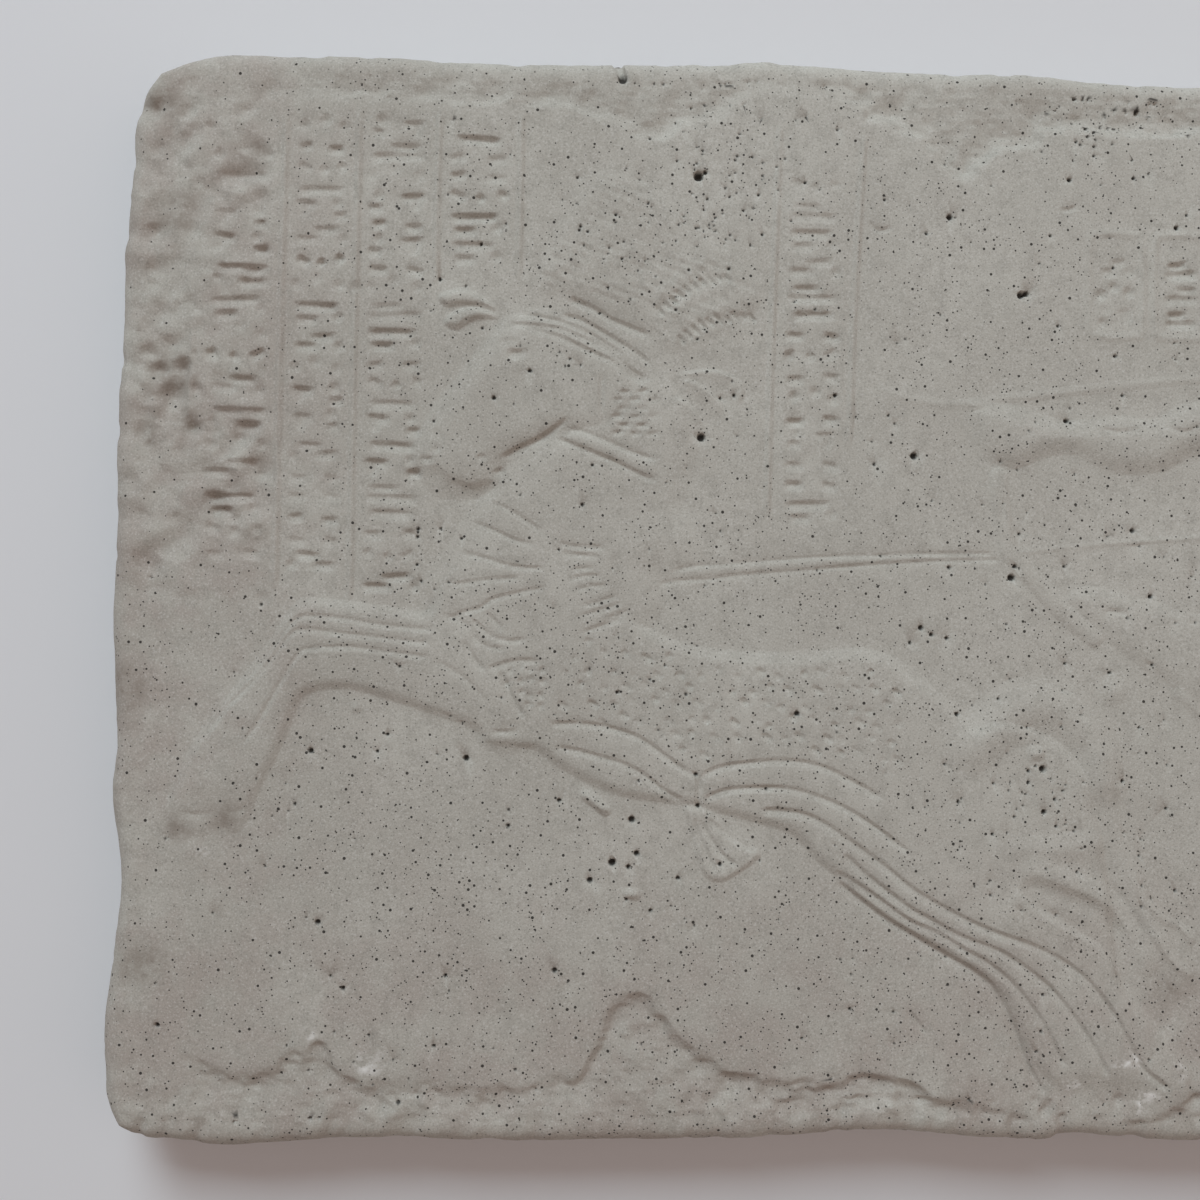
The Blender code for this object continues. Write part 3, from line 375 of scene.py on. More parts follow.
# The limbs' lines
FORELEG_LINES = (
    ((17.6, 66), (20, 69), (22, 71.8), (24.5, 75.1), (26.6, 76.2), (32, 75.9), (38, 75), (45.7, 74.4)),
    ((12, 58), (15, 62.2), (18.5, 65.8), (21.6, 69.6), (24.2, 73.2), (26.4, 74.2), (33, 73.6), (45.2, 72.4)),
    ((17.8, 57), (20, 60.4), (22.6, 65.4), (25.4, 70.2), (27.2, 71.4), (33, 71.7), (38, 71.2), (45.2, 70.3)),
)
FORELEG_GROOVES = (
    ((46.2, 77), (50, 75.6), (53, 72.4)), ((45.4, 70.2), (50, 67.6), (54, 63.4)),
)
HIND_LEG_LINES = (
    (
        (94.2, 48.4), (98.5, 48.3), (101.5, 47.7), (104.6, 46.2), (107.7, 44.1), (110.7, 42), (113.8, 39.8),
        (117, 37.2), (121, 34.8), (125, 32.7), (129.3, 30.8), (134.2, 29.2), (137.2, 28), (140.9, 26),
        (144, 23.5), (146.4, 20.7), (148.4, 17.8), (150.4, 14.2), (152.3, 10.8), (154.4, 9), (156.9, 7.3),
    ),
    (
        (106.8, 42.3), (109.2, 40.1), (111.7, 38), (117, 34.1), (120.1, 32.4), (124.7, 30), (130.2, 28),
        (133.3, 26.2), (136.8, 23.7), (138.7, 22), (141.6, 18.5), (143.7, 15.6), (145.4, 12.8), (147.2, 9),
    ),
    (
        (105.6, 39.6), (108.6, 37.9), (112, 35.6), (117, 32.2), (121.3, 30.4), (125.6, 27.8), (128.3, 26.4),
        (130.8, 24.6), (133, 22.7), (135.2, 20), (137.6, 16.6), (139.2, 13.4), (140.8, 10.4),
    ),
    (
        (106, 38), (110, 35), (113.4, 32.5), (117, 30.4), (120.1, 28.5), (124.1, 26.3), (126.8, 24.8),
        (129, 23.2), (130.5, 21.2), (132, 18.8), (133.4, 15.5), (135.2, 11), (136.6, 8.4), (138.2, 6.4),
    ),
)
LEG_EDGE = (
    (133, 37.6), (135.6, 34.4), (138.6, 32.6), (141.6, 30.8), (144.6, 29.2), (146.8, 27.4), (149, 23.6),
    (150.8, 20.8), (153.4, 17.8), (156, 15),
)
RUMP_FOLDS = (
    ((133.8, 39.5), (136.6, 38), (140, 36.7), (143.7, 35.3), (147.1, 33.3), (149.7, 29.9), (152, 26)),
    ((146.6, 38.6), (149.4, 35.6), (151.6, 32), (154, 28.4)),
)
BACK_EDGE = (
    (82, 73.1), (86.8, 71.9), (95.4, 71.4), (104.6, 72), (110.1, 72.2), (115.4, 70.5), (120, 67),
    (124.4, 62.8),
)
HOOF_LINES = (((8.4, 47.6), (11, 46.8), (14, 47.4)), ((15.4, 48), (17.2, 47.4), (19.4, 48.6)))

# Where the casting has lost the hooves: (x, z, half width, half height, share lost)
WORN_HOOVES = ((147, 3, 16, 8, 1.0), (12, 44, 10, 8, 0.55))
# The tail, its tuft and the far horse's hock behind it, each as the middle line of a rounded band
TAIL = (
    (126.2, 58), (129.2, 60.8), (132.8, 63.1), (136.8, 64.2), (140.2, 63.4), (143.2, 60.7), (145.2, 57.2),
    (146, 53.6),
)
TAIL_TUFT = ((145.9, 56), (147.4, 48), (149.8, 41), (152.6, 34.4), (155.6, 28.6), (158.6, 24))
TAIL_BAND = 10.2
TAIL_NUB = ((134.2, 57.1), (135.8, 57.3), (137.4, 57.1))
TUFT_LINES = (
    ((152.6, 35.6), (155.3, 32.9), (158.4, 31.4), (160.6, 28.6)),
    ((153.4, 31.2), (156.4, 27), (158, 25.4), (160.4, 23.8)),
)
FAR_HOCK = ((133.6, 43), (137, 42.9), (141, 43.2), (145, 43.8))
FAR_SHANK = ((135.4, 39.9), (139, 38.9), (143, 37.2), (147, 35.2), (150, 32.6), (153, 26))
# The archer and the chariot, left of about 160 as the casting has them
ARM = (
    (125.4, 110.2), (128.4, 110.4), (131.4, 110.2), (134.8, 109.5), (137, 108.6), (141, 107.8),
    (145.6, 108.4), (149, 108.8), (152, 108.3), (155, 108.6), (158.4, 110.6), (163, 111.6), (176, 113.4),
    (192, 118), (200, 117), (200, 106), (186, 104), (170, 104), (160.9, 102.8), (157.8, 101.4),
    (155.3, 100.2), (150, 99.7), (147.4, 100.1), (145, 101.1), (143, 102.2), (140.3, 102.6),
    (137.6, 102.1), (135.2, 101), (132.4, 100.3), (129, 101.2), (127, 103.4), (126.2, 106),
)
ARM_MUSCLES = (((145.4, 106.8), (148.4, 106.2), (152, 106.8)), ((156, 107.6), (158, 106.4), (161, 107)))
FIST = ((125.2, 109.4), (126.6, 109.1), (128.4, 109.5))
ARROW = (
    (111, 112.2), (118, 110.2), (124, 109.9), (131, 110.9), (137, 111.6), (144, 112.6), (150, 113.4),
    (161, 114.6), (203, 118),
)
BOW_LIMB = (
    (130.2, 99), (130.8, 93), (131.6, 88.4), (133.6, 85.8), (136, 83.2), (138.4, 80.4), (141.4, 77.6),
    (145, 74.8),
)
BOW_WIDTH = 2.8
BOW_END = ((157, 67.4), (163, 62.4), (170, 58))
BOWSTRING = (((170, 58), (187, 86), (202.6, 117)), ((203, 118.6), (190, 136), (180, 149)))
UPPER_LIMB = ((161, 141.6), (166, 143), (172, 146), (178, 148.6))
CHARIOT_FRONT = (
    (140.4, 80.6), (143, 82.6), (147, 82.3), (151.6, 81), (155.4, 80.3), (161, 78.6), (176, 78.6),
    (190, 77.8), (192, 58), (176, 58.4), (166, 61.4), (160, 65), (157, 67.4), (154, 69.4), (151.6, 70.8),
    (149.2, 72.5), (146.6, 74.5), (144.6, 76), (142.4, 78.4),
)
CHARIOT_FRONT_LINES = (
    ((146, 78.6), (148, 79), (150.4, 78.4)), ((163, 76.2), (170, 75.4), (189, 74)),
    ((163, 68.6), (172, 66), (190, 62)),
)
CHARIOT_CAB = (
    (186.4, 73), (190.5, 77.4), (206, 76.6), (222, 72.4), (232.6, 63.6), (235, 50), (232.4, 43.6),
    (191, 43.6), (186.6, 48),
)
CAB_LINES = (
    ((189.4, 48.4), (189.4, 71.4), (192.4, 74.6), (206, 73.8), (220.6, 69.8), (229.6, 61.8), (231.8, 50)),
    ((189.4, 47.6), (210, 47.2), (231.8, 47.4)),
    ((198, 60), (199.4, 64.4), (202.6, 67.4), (206.6, 68)),
    ((205, 51), (208.6, 53.4), (210.6, 57.4), (210.6, 61.6)),
)
QUIVER = ((196, 83), (203.5, 86), (226, 55), (218, 50.6))
QUIVER_LINES = (
    ((197.6, 80.4), (205.4, 83.4)), ((200.4, 76), (208.6, 79)), ((214.6, 54.8), (223.4, 58.6)),
    ((212.4, 58), (221, 62)),
)
WHEEL_CENTRE = (216.0, 30.5)
WHEEL_RADIUS = 19.0
WHEEL_RIM_WIDTH = 3.0
WHEEL_HUB_RADIUS = 3.8
AXLE_DENT = (1.6, 0.5)
WHEEL_SPOKES = 6
SPOKE_WIDTH = 2.2
SHAFT = ((163.4, 33), (172, 36.4), (186.6, 43.4), (192, 45.6))
SHAFT_WIDTH = 2.4
TORSO = (
    (190, 117.5), (197, 120), (214, 120.5), (223, 117), (224, 111), (216, 103), (211.5, 93), (211, 84),
    (213, 79), (195.5, 79), (196, 87), (195.5, 96), (191, 105),
)
ARCHER_HEAD = (
    (203.4, 119), (203, 121.6), (200.7, 122.4), (200.2, 124.3), (199.9, 125.8), (198.9, 127.6),
    (200.5, 129.6), (201.2, 133.4), (203.6, 137), (209, 138.6), (214, 136), (216, 130.6), (214.6, 124.6),
    (212.4, 121.4), (212, 118.4),
)
ARCHER_FACE_LINES = (
    ((202, 129.6), (203.6, 130.4), (205.4, 129.8)), ((202.2, 129), (203.8, 128.6), (205.4, 129.2)),
    ((201.8, 131.8), (204, 132.6), (206.4, 132)), ((200.6, 124.6), (202.2, 124.8), (203.4, 125.2)),
)
ARCHER_EAR = (
    (208.4, 130.6), (210, 130.2), (210.2, 127.8), (209, 126), (207.8, 127.8), (208.4, 130.6),
)
ARCHER_CAP = (
    (200.9, 133), (202.2, 138.6), (206.4, 144.4), (212.6, 147.6), (219, 146.4), (221.4, 140.4),
    (219.6, 133.4), (216.4, 128.4), (213.4, 130.6), (208, 133.6),
)
CAP_BANDS = (
    ((201.6, 134.4), (208.4, 135.2), (214.2, 132), (217.4, 129.4)),
    ((201.9, 136.6), (209, 137.4), (215.2, 134), (218.8, 131.4)),
)
BROAD_COLLAR = (
    ((199.6, 119), (203.4, 114.4), (210.4, 113.2), (216, 116.6), (217.4, 119.6)),
    ((197, 119), (201.8, 112), (210.4, 110.4), (218, 114.4), (220, 118.6)),
)
BENT_ARM = (
    (212, 120.4), (226, 122.8), (238, 121.6), (241.6, 117), (238, 112.6), (226, 112.6), (206, 114.6),
    (202.6, 116.8), (204.6, 119.6),
)
BRACELETS = (
    ((206.4, 120), (206.2, 114.8)), ((208, 120.2), (207.8, 114.6)), ((180.6, 114.6), (181.6, 104.4)),
    ((182.4, 115), (183.4, 104.4)), ((223.2, 122.2), (223, 113)), ((225, 122.4), (224.8, 112.8)),
)
KILT = ((195.5, 80), (213, 80.5), (219, 70), (223, 57), (222, 50), (192, 50), (193.6, 66))
BELT = (((195.6, 82.4), (204, 83.2), (212.6, 82.4)), ((195.4, 79.8), (204, 80.6), (213.4, 79.8)))
# The kilt's pleats: the first and last x of their lower ends and their count, the x they lean towards, the
# z of their upper and lower ends, and how each is cut
PLEATS = (195.5, 219.5, 11)
PLEAT_MIDDLE = 204.0
PLEAT_TOP = 78.6
PLEAT_LOW = 52.0
PLEAT_CUT = (0.2, 1.0)

# Kinds of plain strokes that read as nothing, each as its height, its strokes and its pits, whose points
# are (share of the column's width, height above the row)
STROKE_KINDS = (
    (3.5, (((0, 0.4), (0.55, 0.5), (1, 0.3)), ((0.3, 1.9), (0.95, 1.7))), ()),
    (4.6, (((0.05, 0.4), (0.55, 0.5)), ((0, 2.4), (0.9, 2.6))), ((0.84, 0.9),)),
    (3.7, (((0.05, 2.1), (0.35, 0.8)), ((0.5, 1.6), (0.62, 0.5)), ((0.8, 2.0), (1, 1.2))), ()),
    (2.4, (((0.05, 0.4), (0.5, 0.6), (0.95, 0.5)),), ()),
    (4.0, (((0, 0.6), (0.3, 0.4)), ((0.5, 1.9), (1, 2.2))), ((0.2, 2.2), (0.8, 0.7))),
    (4.4, (((0.1, 2.6), (0.7, 2.3)), ((0.4, 1.0), (1, 1.2))), ((0.1, 0.8),)),
    (3.0, (((0, 0.5), (0.4, 0.4)), ((0.65, 0.9), (1, 0.3))), ()),
    (3.4, (), ((0.15, 1.0), (0.55, 1.9), (0.9, 0.9))),
)
# How the strokes vary: ranges of their boldness, of their length and of the rows' heights, their tilt, the
# pits' radius and share of the strokes' depth, the radius and depth of the wear between them, and what a
# column leaves free at its ends
STROKE_BOLDNESS = (0.5, 1.25)
STROKE_LENGTHS = (0.85, 1.0)
ROW_HEIGHTS = (0.92, 1.12)
STROKE_TILT = 0.5
STROKE_PIT = 1.2
STROKE_PIT_DEPTH = 0.8
STROKE_WEAR = 2.6
STROKE_WEAR_DEPTH = 0.25
COLUMN_LOW_MARGIN = 0.8
COLUMN_TOP_MARGIN = 2.6
# Columns of strokes, as (left, right, low, top, seed), and frames with strokes inside them
STROKE_COLUMNS = (
    (10.5, 20.4, 84, 150, 2), (23.0, 31.6, 82, 152, 5), (34.0, 43.4, 79, 152, 8), (45.8, 55.6, 129, 152, 11),
    (97.2, 106.2, 91, 145, 14), (238.6, 247.6, 98, 146, 21), (250.6, 259.6, 98, 146, 24),
    (262.6, 270.6, 98, 143, 27),
)
FRAMES = (
    (144.2, 152.3, 120.9, 136.6, 31), (154.4, 162.6, 120.9, 136.6, 34), (166.4, 174.6, 120.9, 136.6, 37),
)
FRAME_CORNER = 1.6
DIVIDERS = (
    ((8.9, 119), (8.8, 112), (8.7, 105)), ((21.8, 80), (21.7, 118), (21.9, 152)),
    ((32.9, 78), (32.7, 118), (32.8, 153)),
    ((44.6, 126), (44.6, 140), (44.8, 153)), ((57, 127), (57.1, 140), (57, 153)),
    ((95, 92), (95.4, 118), (96.3, 152)), ((107.3, 103), (108, 126), (109.3, 151)),
    ((237, 96), (237, 149)), ((249, 96), (249, 149)), ((261, 96), (261, 149)), ((272, 96), (272, 145)),
)
SINGLE_STROKES = (((139.2, 140.2), (141, 140.4), (142.6, 141)), ((110, 138), (111.5, 136.3), (114, 137)))

# Damage, as (x, z, radius, depth in millimetres): hollows, and mounds where depth is negative
CHIPS = (
    (5.6, 116.5, 2.6, 0.4), (3.6, 112.2, 2.4, 1.0), (6.6, 109.4, 2.2, 1.0), (7.4, 112.8, 2.0, 0.7),
    (9.3, 103.8, 2.0, 1.0), (12.4, 103.4, 1.6, 0.45), (2.5, 102.6, 2.4, 0.9), (4.2, 107, 1.8, -0.7),
    (12.5, 93.2, 2.0, 0.8), (15.2, 90.6, 1.8, 0.3), (17.9, 146, 2.0, 0.6), (32.8, 125.4, 1.2, 0.5),
    (98, 116.6, 1.1, 0.4), (2.4, 152.2, 3.2, 0.7), (4.6, 93.6, 3.0, 0.3), (7.4, 127.8, 3.0, 0.25),
    (14.4, 145.2, 1.8, 0.4), (7.6, 142, 3.4, 0.3), (101, 4, 3.0, 0.35), (124, 3.4, 3.0, 0.35),
    (133.4, 2.4, 1.6, 0.6), (246, 152, 3.6, 0.5), (276, 88, 3.0, 0.7), (278, 30, 2.6, 0.6),
    (208, 3.6, 3.0, 0.4), (16.6, 108, 3.4, -0.3), (10.4, 41.4, 2.8, -0.25), (34.2, 62.7, 1.0, -0.3),
    (128, 4.4, 1.0, 0.35), (131, 3.3, 1.3, 0.45), (134.6, 2.5, 1.1, 0.45), (137.6, 3.9, 1.2, 0.4),
    (140.4, 2.2, 1.3, 0.45), (136.2, 5.6, 0.9, 0.3),
)
# The battered parts, as (left, low, right, top, count of dents, smallest radius, largest radius)
BATTERED = (
    (-1, 78, 20, 158, 300, 1.0, 3.6), (1.5, 101, 10.5, 118, 90, 0.6, 1.5), (10, 88, 17, 95, 24, 0.6, 1.4),
    (84, -0.5, 152, 6, 170, 0.6, 1.7), (2, -0.5, 64, 7.5, 90, 0.8, 2.2), (160, -0.5, 276, 7, 170, 0.8, 2.2),
)
# A dent is as deep as the slope times the sum of its radius and the least, times a draw from the range,
# whose negative part makes mounds. The higher the crowding, the more dents lie at the left of their part.
DENT_SLOPE = 0.15
DENT_LEAST = 0.8
DENT_RANGE = (-0.8, 1.2)
DENT_CROWDING = 1.2
# Brown stains, as (x, z, radius); those on the chipped hollows are partly painted shade of the hollows
STAINS_AND_HOLLOW_SHADE = (
    (5.6, 112, 5.5), (8.6, 105, 3.4), (2.6, 102.6, 2.8), (12.6, 93, 3.2), (17.9, 146, 2.4),
    (32.8, 125.4, 1.6), (98, 116.6, 1.5), (15.5, 46.4, 3.6), (8.7, 44.9, 3.2), (4.1, 24.9, 5.5), (0, 65, 6),
    (3.5, 153, 4.5), (156, 22, 3), (6, 136, 5),
)
# Crumbs of concrete left on the face, each as the middle line of a lump
CRUMBS = (((67.4, 51), (69.8, 49.2), (72.2, 47.3)), ((74, 35.4), (75.4, 35.8), (77, 35.3)))
SCRATCHES = (((116.8, 19.4), (118.6, 17), (120.4, 14.8)), ((107, 5.4), (108.6, 4.8), (110.2, 5.6)))

# The raised outlines, as (outline, height) and, where they aren't the usual ones, the width of the rounded
# edge and the swell in the middle
FIGURES = (
    (TORSO, FIGURE_RISE, FIGURE_EDGE, FIGURE_SWELL),
    (ARCHER_HEAD, FIGURE_RISE, FIGURE_EDGE, FIGURE_SWELL),
    (ARM, LIMB_RISE, 3.6),
    (ARCHER_CAP, FIGURE_RISE + HEAD_RISE, FIGURE_EDGE, FIGURE_SWELL),
    (BENT_ARM, FIGURE_RISE + HEAD_RISE, 2.6, FIGURE_SWELL),
    (KILT, FIGURE_RISE),
    (CHARIOT_FRONT, 0.7 * FIGURE_RISE, 2.6),
    (CHARIOT_CAB, FIGURE_RISE + HEAD_RISE),
    (HORSE, FIGURE_RISE, FIGURE_EDGE, FIGURE_SWELL),
    (NECK, FIGURE_RISE, 1.5 * SOFT_EDGE),
    (HORSE_HEAD, FIGURE_RISE + HEAD_RISE, SOFT_EDGE),
    (PLUME, 0.6 * FIGURE_RISE, SOFT_EDGE),
    (FAR_EAR, FIGURE_RISE, 1.0),
    (NEAR_EAR, FIGURE_RISE, 1.0),
    (GIRTH_TASSEL, 0.7 * FIGURE_RISE, 0.9),
)
# Bands with gentle sides, as (middle line, width, height)
SOFT_BANDS = (
    (FAR_HOCK, 5.6, 0.4 * LIMB_RISE),
    (FAR_SHANK, 5.4, 0.5 * LIMB_RISE),
    (TAIL, TAIL_BAND, 0.94 * LIMB_RISE),
    (TAIL_TUFT, 0.7 * TAIL_BAND, 0.5 * LIMB_RISE),
)
# The carved lines, as (paths, depth, width) and, where they aren't the usual ones, the lift and the ease.
# A negative depth is a bead. The tail's lines are cut before the hooves are worn off.
TAIL_LINES = (((TAIL_NUB,), -0.58, 2.5), ((LEG_EDGE,), 0.0, 1.6, -0.3), (TUFT_LINES, -FINE_DEPTH, 1.6))
CARVED_LINES = (
    (ARM_MUSCLES + ARCHER_FACE_LINES + CAP_BANDS + BROAD_COLLAR + BRACELETS + BELT, 0.26, 1.0),
    ((FIST,), 0.25, 1.3),
    ((ARCHER_EAR,), 0.24, 0.9),
    ((ARROW,), -0.14, 1.7),
    ((BOW_END,), -0.3, 2.0),
    ((UPPER_LIMB,), -0.16, 1.4),
    (BOWSTRING, -0.18, 0.9),
    (CHARIOT_FRONT_LINES + CAB_LINES + QUIVER_LINES, 0.3, 1.2),
    ((CHIN,), 0.3, 3.4),
    ((MOUTH, LIP, CHIN_FOLD), 0.4, 1.2),
    ((JAW,), 0.38, 1.1, 0.08),
    ((NOSE_WING,), 0.25, 1.2),
    ((EYE,), 0.45, 1.9),
    ((BROW,), 0.16, 1.4),
    (HEADSTALL, GROOVE_DEPTH, GROOVE_WIDTH),
    ((POLL_STRAP,), 0.45, 1.3),
    ((CHEEK_STRAP,), 0.25, 1.0),
    ((THROAT_BAND,), -0.28, 3.2),
    (THROAT_GROOVES, 0.38, 1.0),
    (HORN_FOLDS, -0.2, 1.0, -0.16),
    (PLUME_BANDS, -0.14, 2.2),
    (COLLAR, FINE_DEPTH, FINE_WIDTH),
    (COLLAR_EDGES, 0.4, 1.2),
    ((KNOT_LINE,), 0.4, 1.1),
    ((REIN_BODY,), -0.14, 1.9),
    (REINS, 0.8 * FINE_DEPTH, 0.8 * FINE_WIDTH),
    ((REIN_END,), -0.14, 1.0),
    (BLANKET_LINES, GROOVE_DEPTH, 1.2),
    (TASSEL_LINES, GROOVE_DEPTH, GROOVE_WIDTH),
    ((GIRTH_MEETS,), 0.3, 1.3),
    ((MOULD_SEAM,), 0.12, FINE_WIDTH),
    (FORELEG_LINES, 0.32, 0.9, -0.1),
    (FORELEG_GROOVES + HOOF_LINES, 0.2, 1.2),
    (HIND_LEG_LINES, 1.1 * GROOVE_DEPTH, 1.4),
    (RUMP_FOLDS, 0.34, 3.4, 0.0, 7.0),
    ((BACK_EDGE,), -0.13, 1.0),
    (SINGLE_STROKES, 0.6 * STROKE_DEPTH, FINE_WIDTH),
    (CRUMBS, -0.7, 1.8),
    (SCRATCHES, 0.3, 0.8),
)

# The largest air-bubble holes, as (x, z, radius) in drawing units
LARGE_PORES = (
    (72.3, 158.7, 0.78), (84, 143.8, 0.78), (85, 144.4, 0.4), (84.9, 104, 0.68), (117.3, 101.9, 0.6),
    (133.6, 126.9, 0.6), (134.4, 127.1, 0.5), (122.5, 138.6, 0.52), (132.3, 83.7, 0.58), (132.7, 85.4, 0.36),
    (75.3, 46.7, 0.56), (72.5, 40.3, 0.62), (76.1, 41.7, 0.46), (69.2, 37.7, 0.46), (74.9, 39.7, 0.4),
    (151.9, 156.5, 0.5), (136.9, 55, 0.55), (134.7, 54.7, 0.32), (118.5, 75.9, 0.44), (120.1, 74.9, 0.36),
    (122.5, 74.4, 0.36), (140.6, 107.7, 0.44), (99.7, 62.8, 0.46), (50.6, 55.5, 0.5), (27.7, 56.3, 0.46),
    (29.3, 31.2, 0.44), (141, 144.9, 0.4), (157.7, 137.9, 0.42), (150.9, 91.2, 0.4), (153.7, 81.2, 0.4),
    (64.2, 24.4, 0.42), (42.8, 89.4, 0.32), (42.7, 88.2, 0.3),
    (137.1, 48.6, 0.42), (138.7, 50.5, 0.32), (6.4, 16.1, 0.42), (84.7, 53.6, 0.36), (85.1, 48.9, 0.36),
    (33.2, 21.6, 0.36), (82.3, 38.1, 0.36), (88.5, 40.3, 0.36), (57, 45.6, 0.36), (64.5, 49.4, 0.36),
    (53.7, 109.1, 0.38), (124, 63, 0.4), (198, 98, 0.5), (246, 70, 0.6), (228, 132, 0.5), (176, 24, 0.55),
    (262, 44, 0.5), (183, 128, 0.45), (252, 22, 0.45), (232, 91, 0.4),
)
# White crumbs of loose plaster on the face, as (x, z, radius)
DUST = (
    (150.9, 11.7, 1.0), (153.2, 6.5, 1.2), (152.4, 5.4, 1.0), (141.5, 8.1, 1.0), (158.3, 9.8, 1.0),
    (149.3, 11.2, 1.0), (34.4, 62.4, 0.7), (37, 10.3, 1.2), (28.6, 15, 1.0), (12.6, 41.2, 1.0),
    (206, 16, 1.0), (244, 33, 1.1),
)
# The scattered holes: their count, smallest radius and spread of radii, the spread in crowds, and for every
# hole its depth in radii and its distance from the sheet's edge
PORE_COUNT = 420
PORE_SMALLEST = 0.18
PORE_SPREAD = 0.17
CLUSTER_SPREAD = 0.6 * PORE_SPREAD
PORE_DEEPNESS = 1.5
PORE_MARGIN = 4.0
# No scattered hole lies left of this x and above this z at once
PORE_FREE = (42, 84)
# Where holes crowd together, as (x, z, spread, count)
PORE_CLUSTERS = (
    (88, 140, 11, 44), (72, 134, 11, 26), (138, 50, 18, 46), (30, 6, 14, 14), (88, 156, 13, 24),
    (147, 154, 14, 36), (150, 90, 16, 10), (246, 120, 18, 16), (220, 60, 18, 14),
)
# The share of a marked place's radius that the material colours
MARK_REACH = 0.96
# Holes too small to model, drawn only as dark spots of painted shade, as (size of the cells, share of the
# cells with a hole, largest radius), in millimetres, and what share of them is left high up, at the left,
# and where both meet
SMALL_PORES = (0.95, 0.6, 0.25)
FINE_PORES = (0.5, 0.75, 0.15)
CROWD_HIGH = 0.7
CROWD_LEFT = 0.6
CROWD_TOP_LEFT = 0.3

# Colours, in linear light
CONCRETE = (0.470, 0.452, 0.408)
CONCRETE_LIGHT = (0.585, 0.570, 0.522)
CONCRETE_DARK = (0.340, 0.325, 0.292)
# The next colour is the warm painted shade towards the plaque's left and lower edges
CONCRETE_WARM_SHADE = (0.415, 0.365, 0.330)
GRAIN_DARK = (0.200, 0.188, 0.170)
# The next colour is painted shade: the near-black that stands for the shade inside the air-bubble holes
PORE_SHADE = (0.030, 0.027, 0.024)
SPECK_WHITE = (0.80, 0.79, 0.77)
BACKDROP = (0.790, 0.795, 0.825)
# Brown of the stains, also used as painted shade in the chipped hollows
STAIN_AND_SHADE = (0.250, 0.210, 0.178)
ROUGHNESS = 0.92
SPECULAR = 0.3
# How strongly the holes are painted with their shade
HOLE_SHADE_STRENGTH = 0.93
BUMP_STRENGTH = 0.6
BUMP_DEPTH = 0.12
# How the cells of the smallest holes are turned, in radians, and above what angle between faces an edge is
# sharp, in degrees
CELL_TURN = (0.61, 0.44, 0.87)
SHARP_ANGLE = 75.0

# The camera, from the photograph: its focal length in pixels of a 1200 pixel frame, its place in drawing
# units before the field of the relief, and its turns in degrees
FRAME_PIXELS = 1200
FOCAL_PIXELS = 1203.0
SENSOR = 36.0
CAMERA_PLACE = (63.83, 179.55, 73.43)
CAMERA_YAW = -1.99
CAMERA_PITCH = 1.859
CAMERA_ROLL = -0.913
CLIP_START = 0.01

# The wall behind the plaque: its reach and its gap in metres, and how far inside the plaque's outline its
# opening lies, in drawing units
BACKDROP_REACH = 2.2
BACKDROP_GAP = 0.0004
OPENING_INSET = 2.6
OPENING_STEPS = 40
BACKDROP_ROUGHNESS = 0.9

# Lights, as (place in metres, side in metres, watts, colour); each looks at the plaque
KEY_LIGHT = ((-0.32, -0.95, 1.02), 0.62, 13.3, (0.791, 0.914, 0.970))
FILL_LIGHT = ((0.7, -0.9, -0.1), 1.0, 1.45, (1.0, 0.800, 0.695))
BACK_LIGHT = ((-0.6, 1.3, 0.9), 1.0, 6.0, (1.0, 0.96, 0.92))
SKY = (1.0, 0.834, 0.762)
SKY_STRENGTH = 0.275


def eased(value):
    """Rises smoothly from 0 to 1 as value does."""
    value = np.clip(value, 0.0, 1.0)
    return value * value * (3.0 - 2.0 * value)


def smooth_curve(points, closed=False):
    """Points about CURVE_STEP apart along a Catmull-Rom curve through the given points."""
    points = np.asarray(points, float)
    if closed:
        ring = np.vstack([points[-1:], points, points[:2]])
    else:
        ring = np.vstack([2 * points[0] - points[1], points, 2 * points[-1] - points[-2]])
    curve = []
    for before, start, end, after in zip(ring, ring[1:], ring[2:], ring[3:]):
        count = max(1, math.ceil(np.linalg.norm(end - start) / CURVE_STEP))
        for t in np.arange(count) / count:
            curve.append(
                0.5
                * (
                    2 * start
                    + (end - before) * t
                    + (2 * before - 5 * start + 4 * end - after) * t**2
                    + (3 * start - before - 3 * end + after) * t**3
                )
            )
    curve.append(ring[-2])
    return np.array(curve)


def ramp(value, start, end):
    """Rises smoothly from 0 at start to 1 at end."""
    return eased((value - start) / (end - start))


def circle(centre, radius, count=72):
    turn = np.linspace(0.0, math.tau, count, endpoint=False)
    return np.stack([centre[0] + radius * np.cos(turn), centre[1] + radius * np.sin(turn)], axis=1)


def uneven(places, size, seed):
    """Uneven ground, about -1 to 1, with bumps about size across: waves that cross in every direction."""
    draw = np.random.default_rng(seed)
    total = 0.0
    for _ in range(WAVES):
        way = draw.normal(size=len(places))
        way /= np.linalg.norm(way)
        length = 2.0 * size * draw.uniform(*WAVE_LENGTHS)
        run = sum(share * place for share, place in zip(way, places))
        total = total + np.sin(math.tau * run / length + draw.uniform(0.0, math.tau))
    return total / WAVES_HEIGHT


def layered(places, layers):
    """The sum of several layers of uneven ground."""
    return sum(share * uneven(places, size, seed) for share, size, seed in layers)


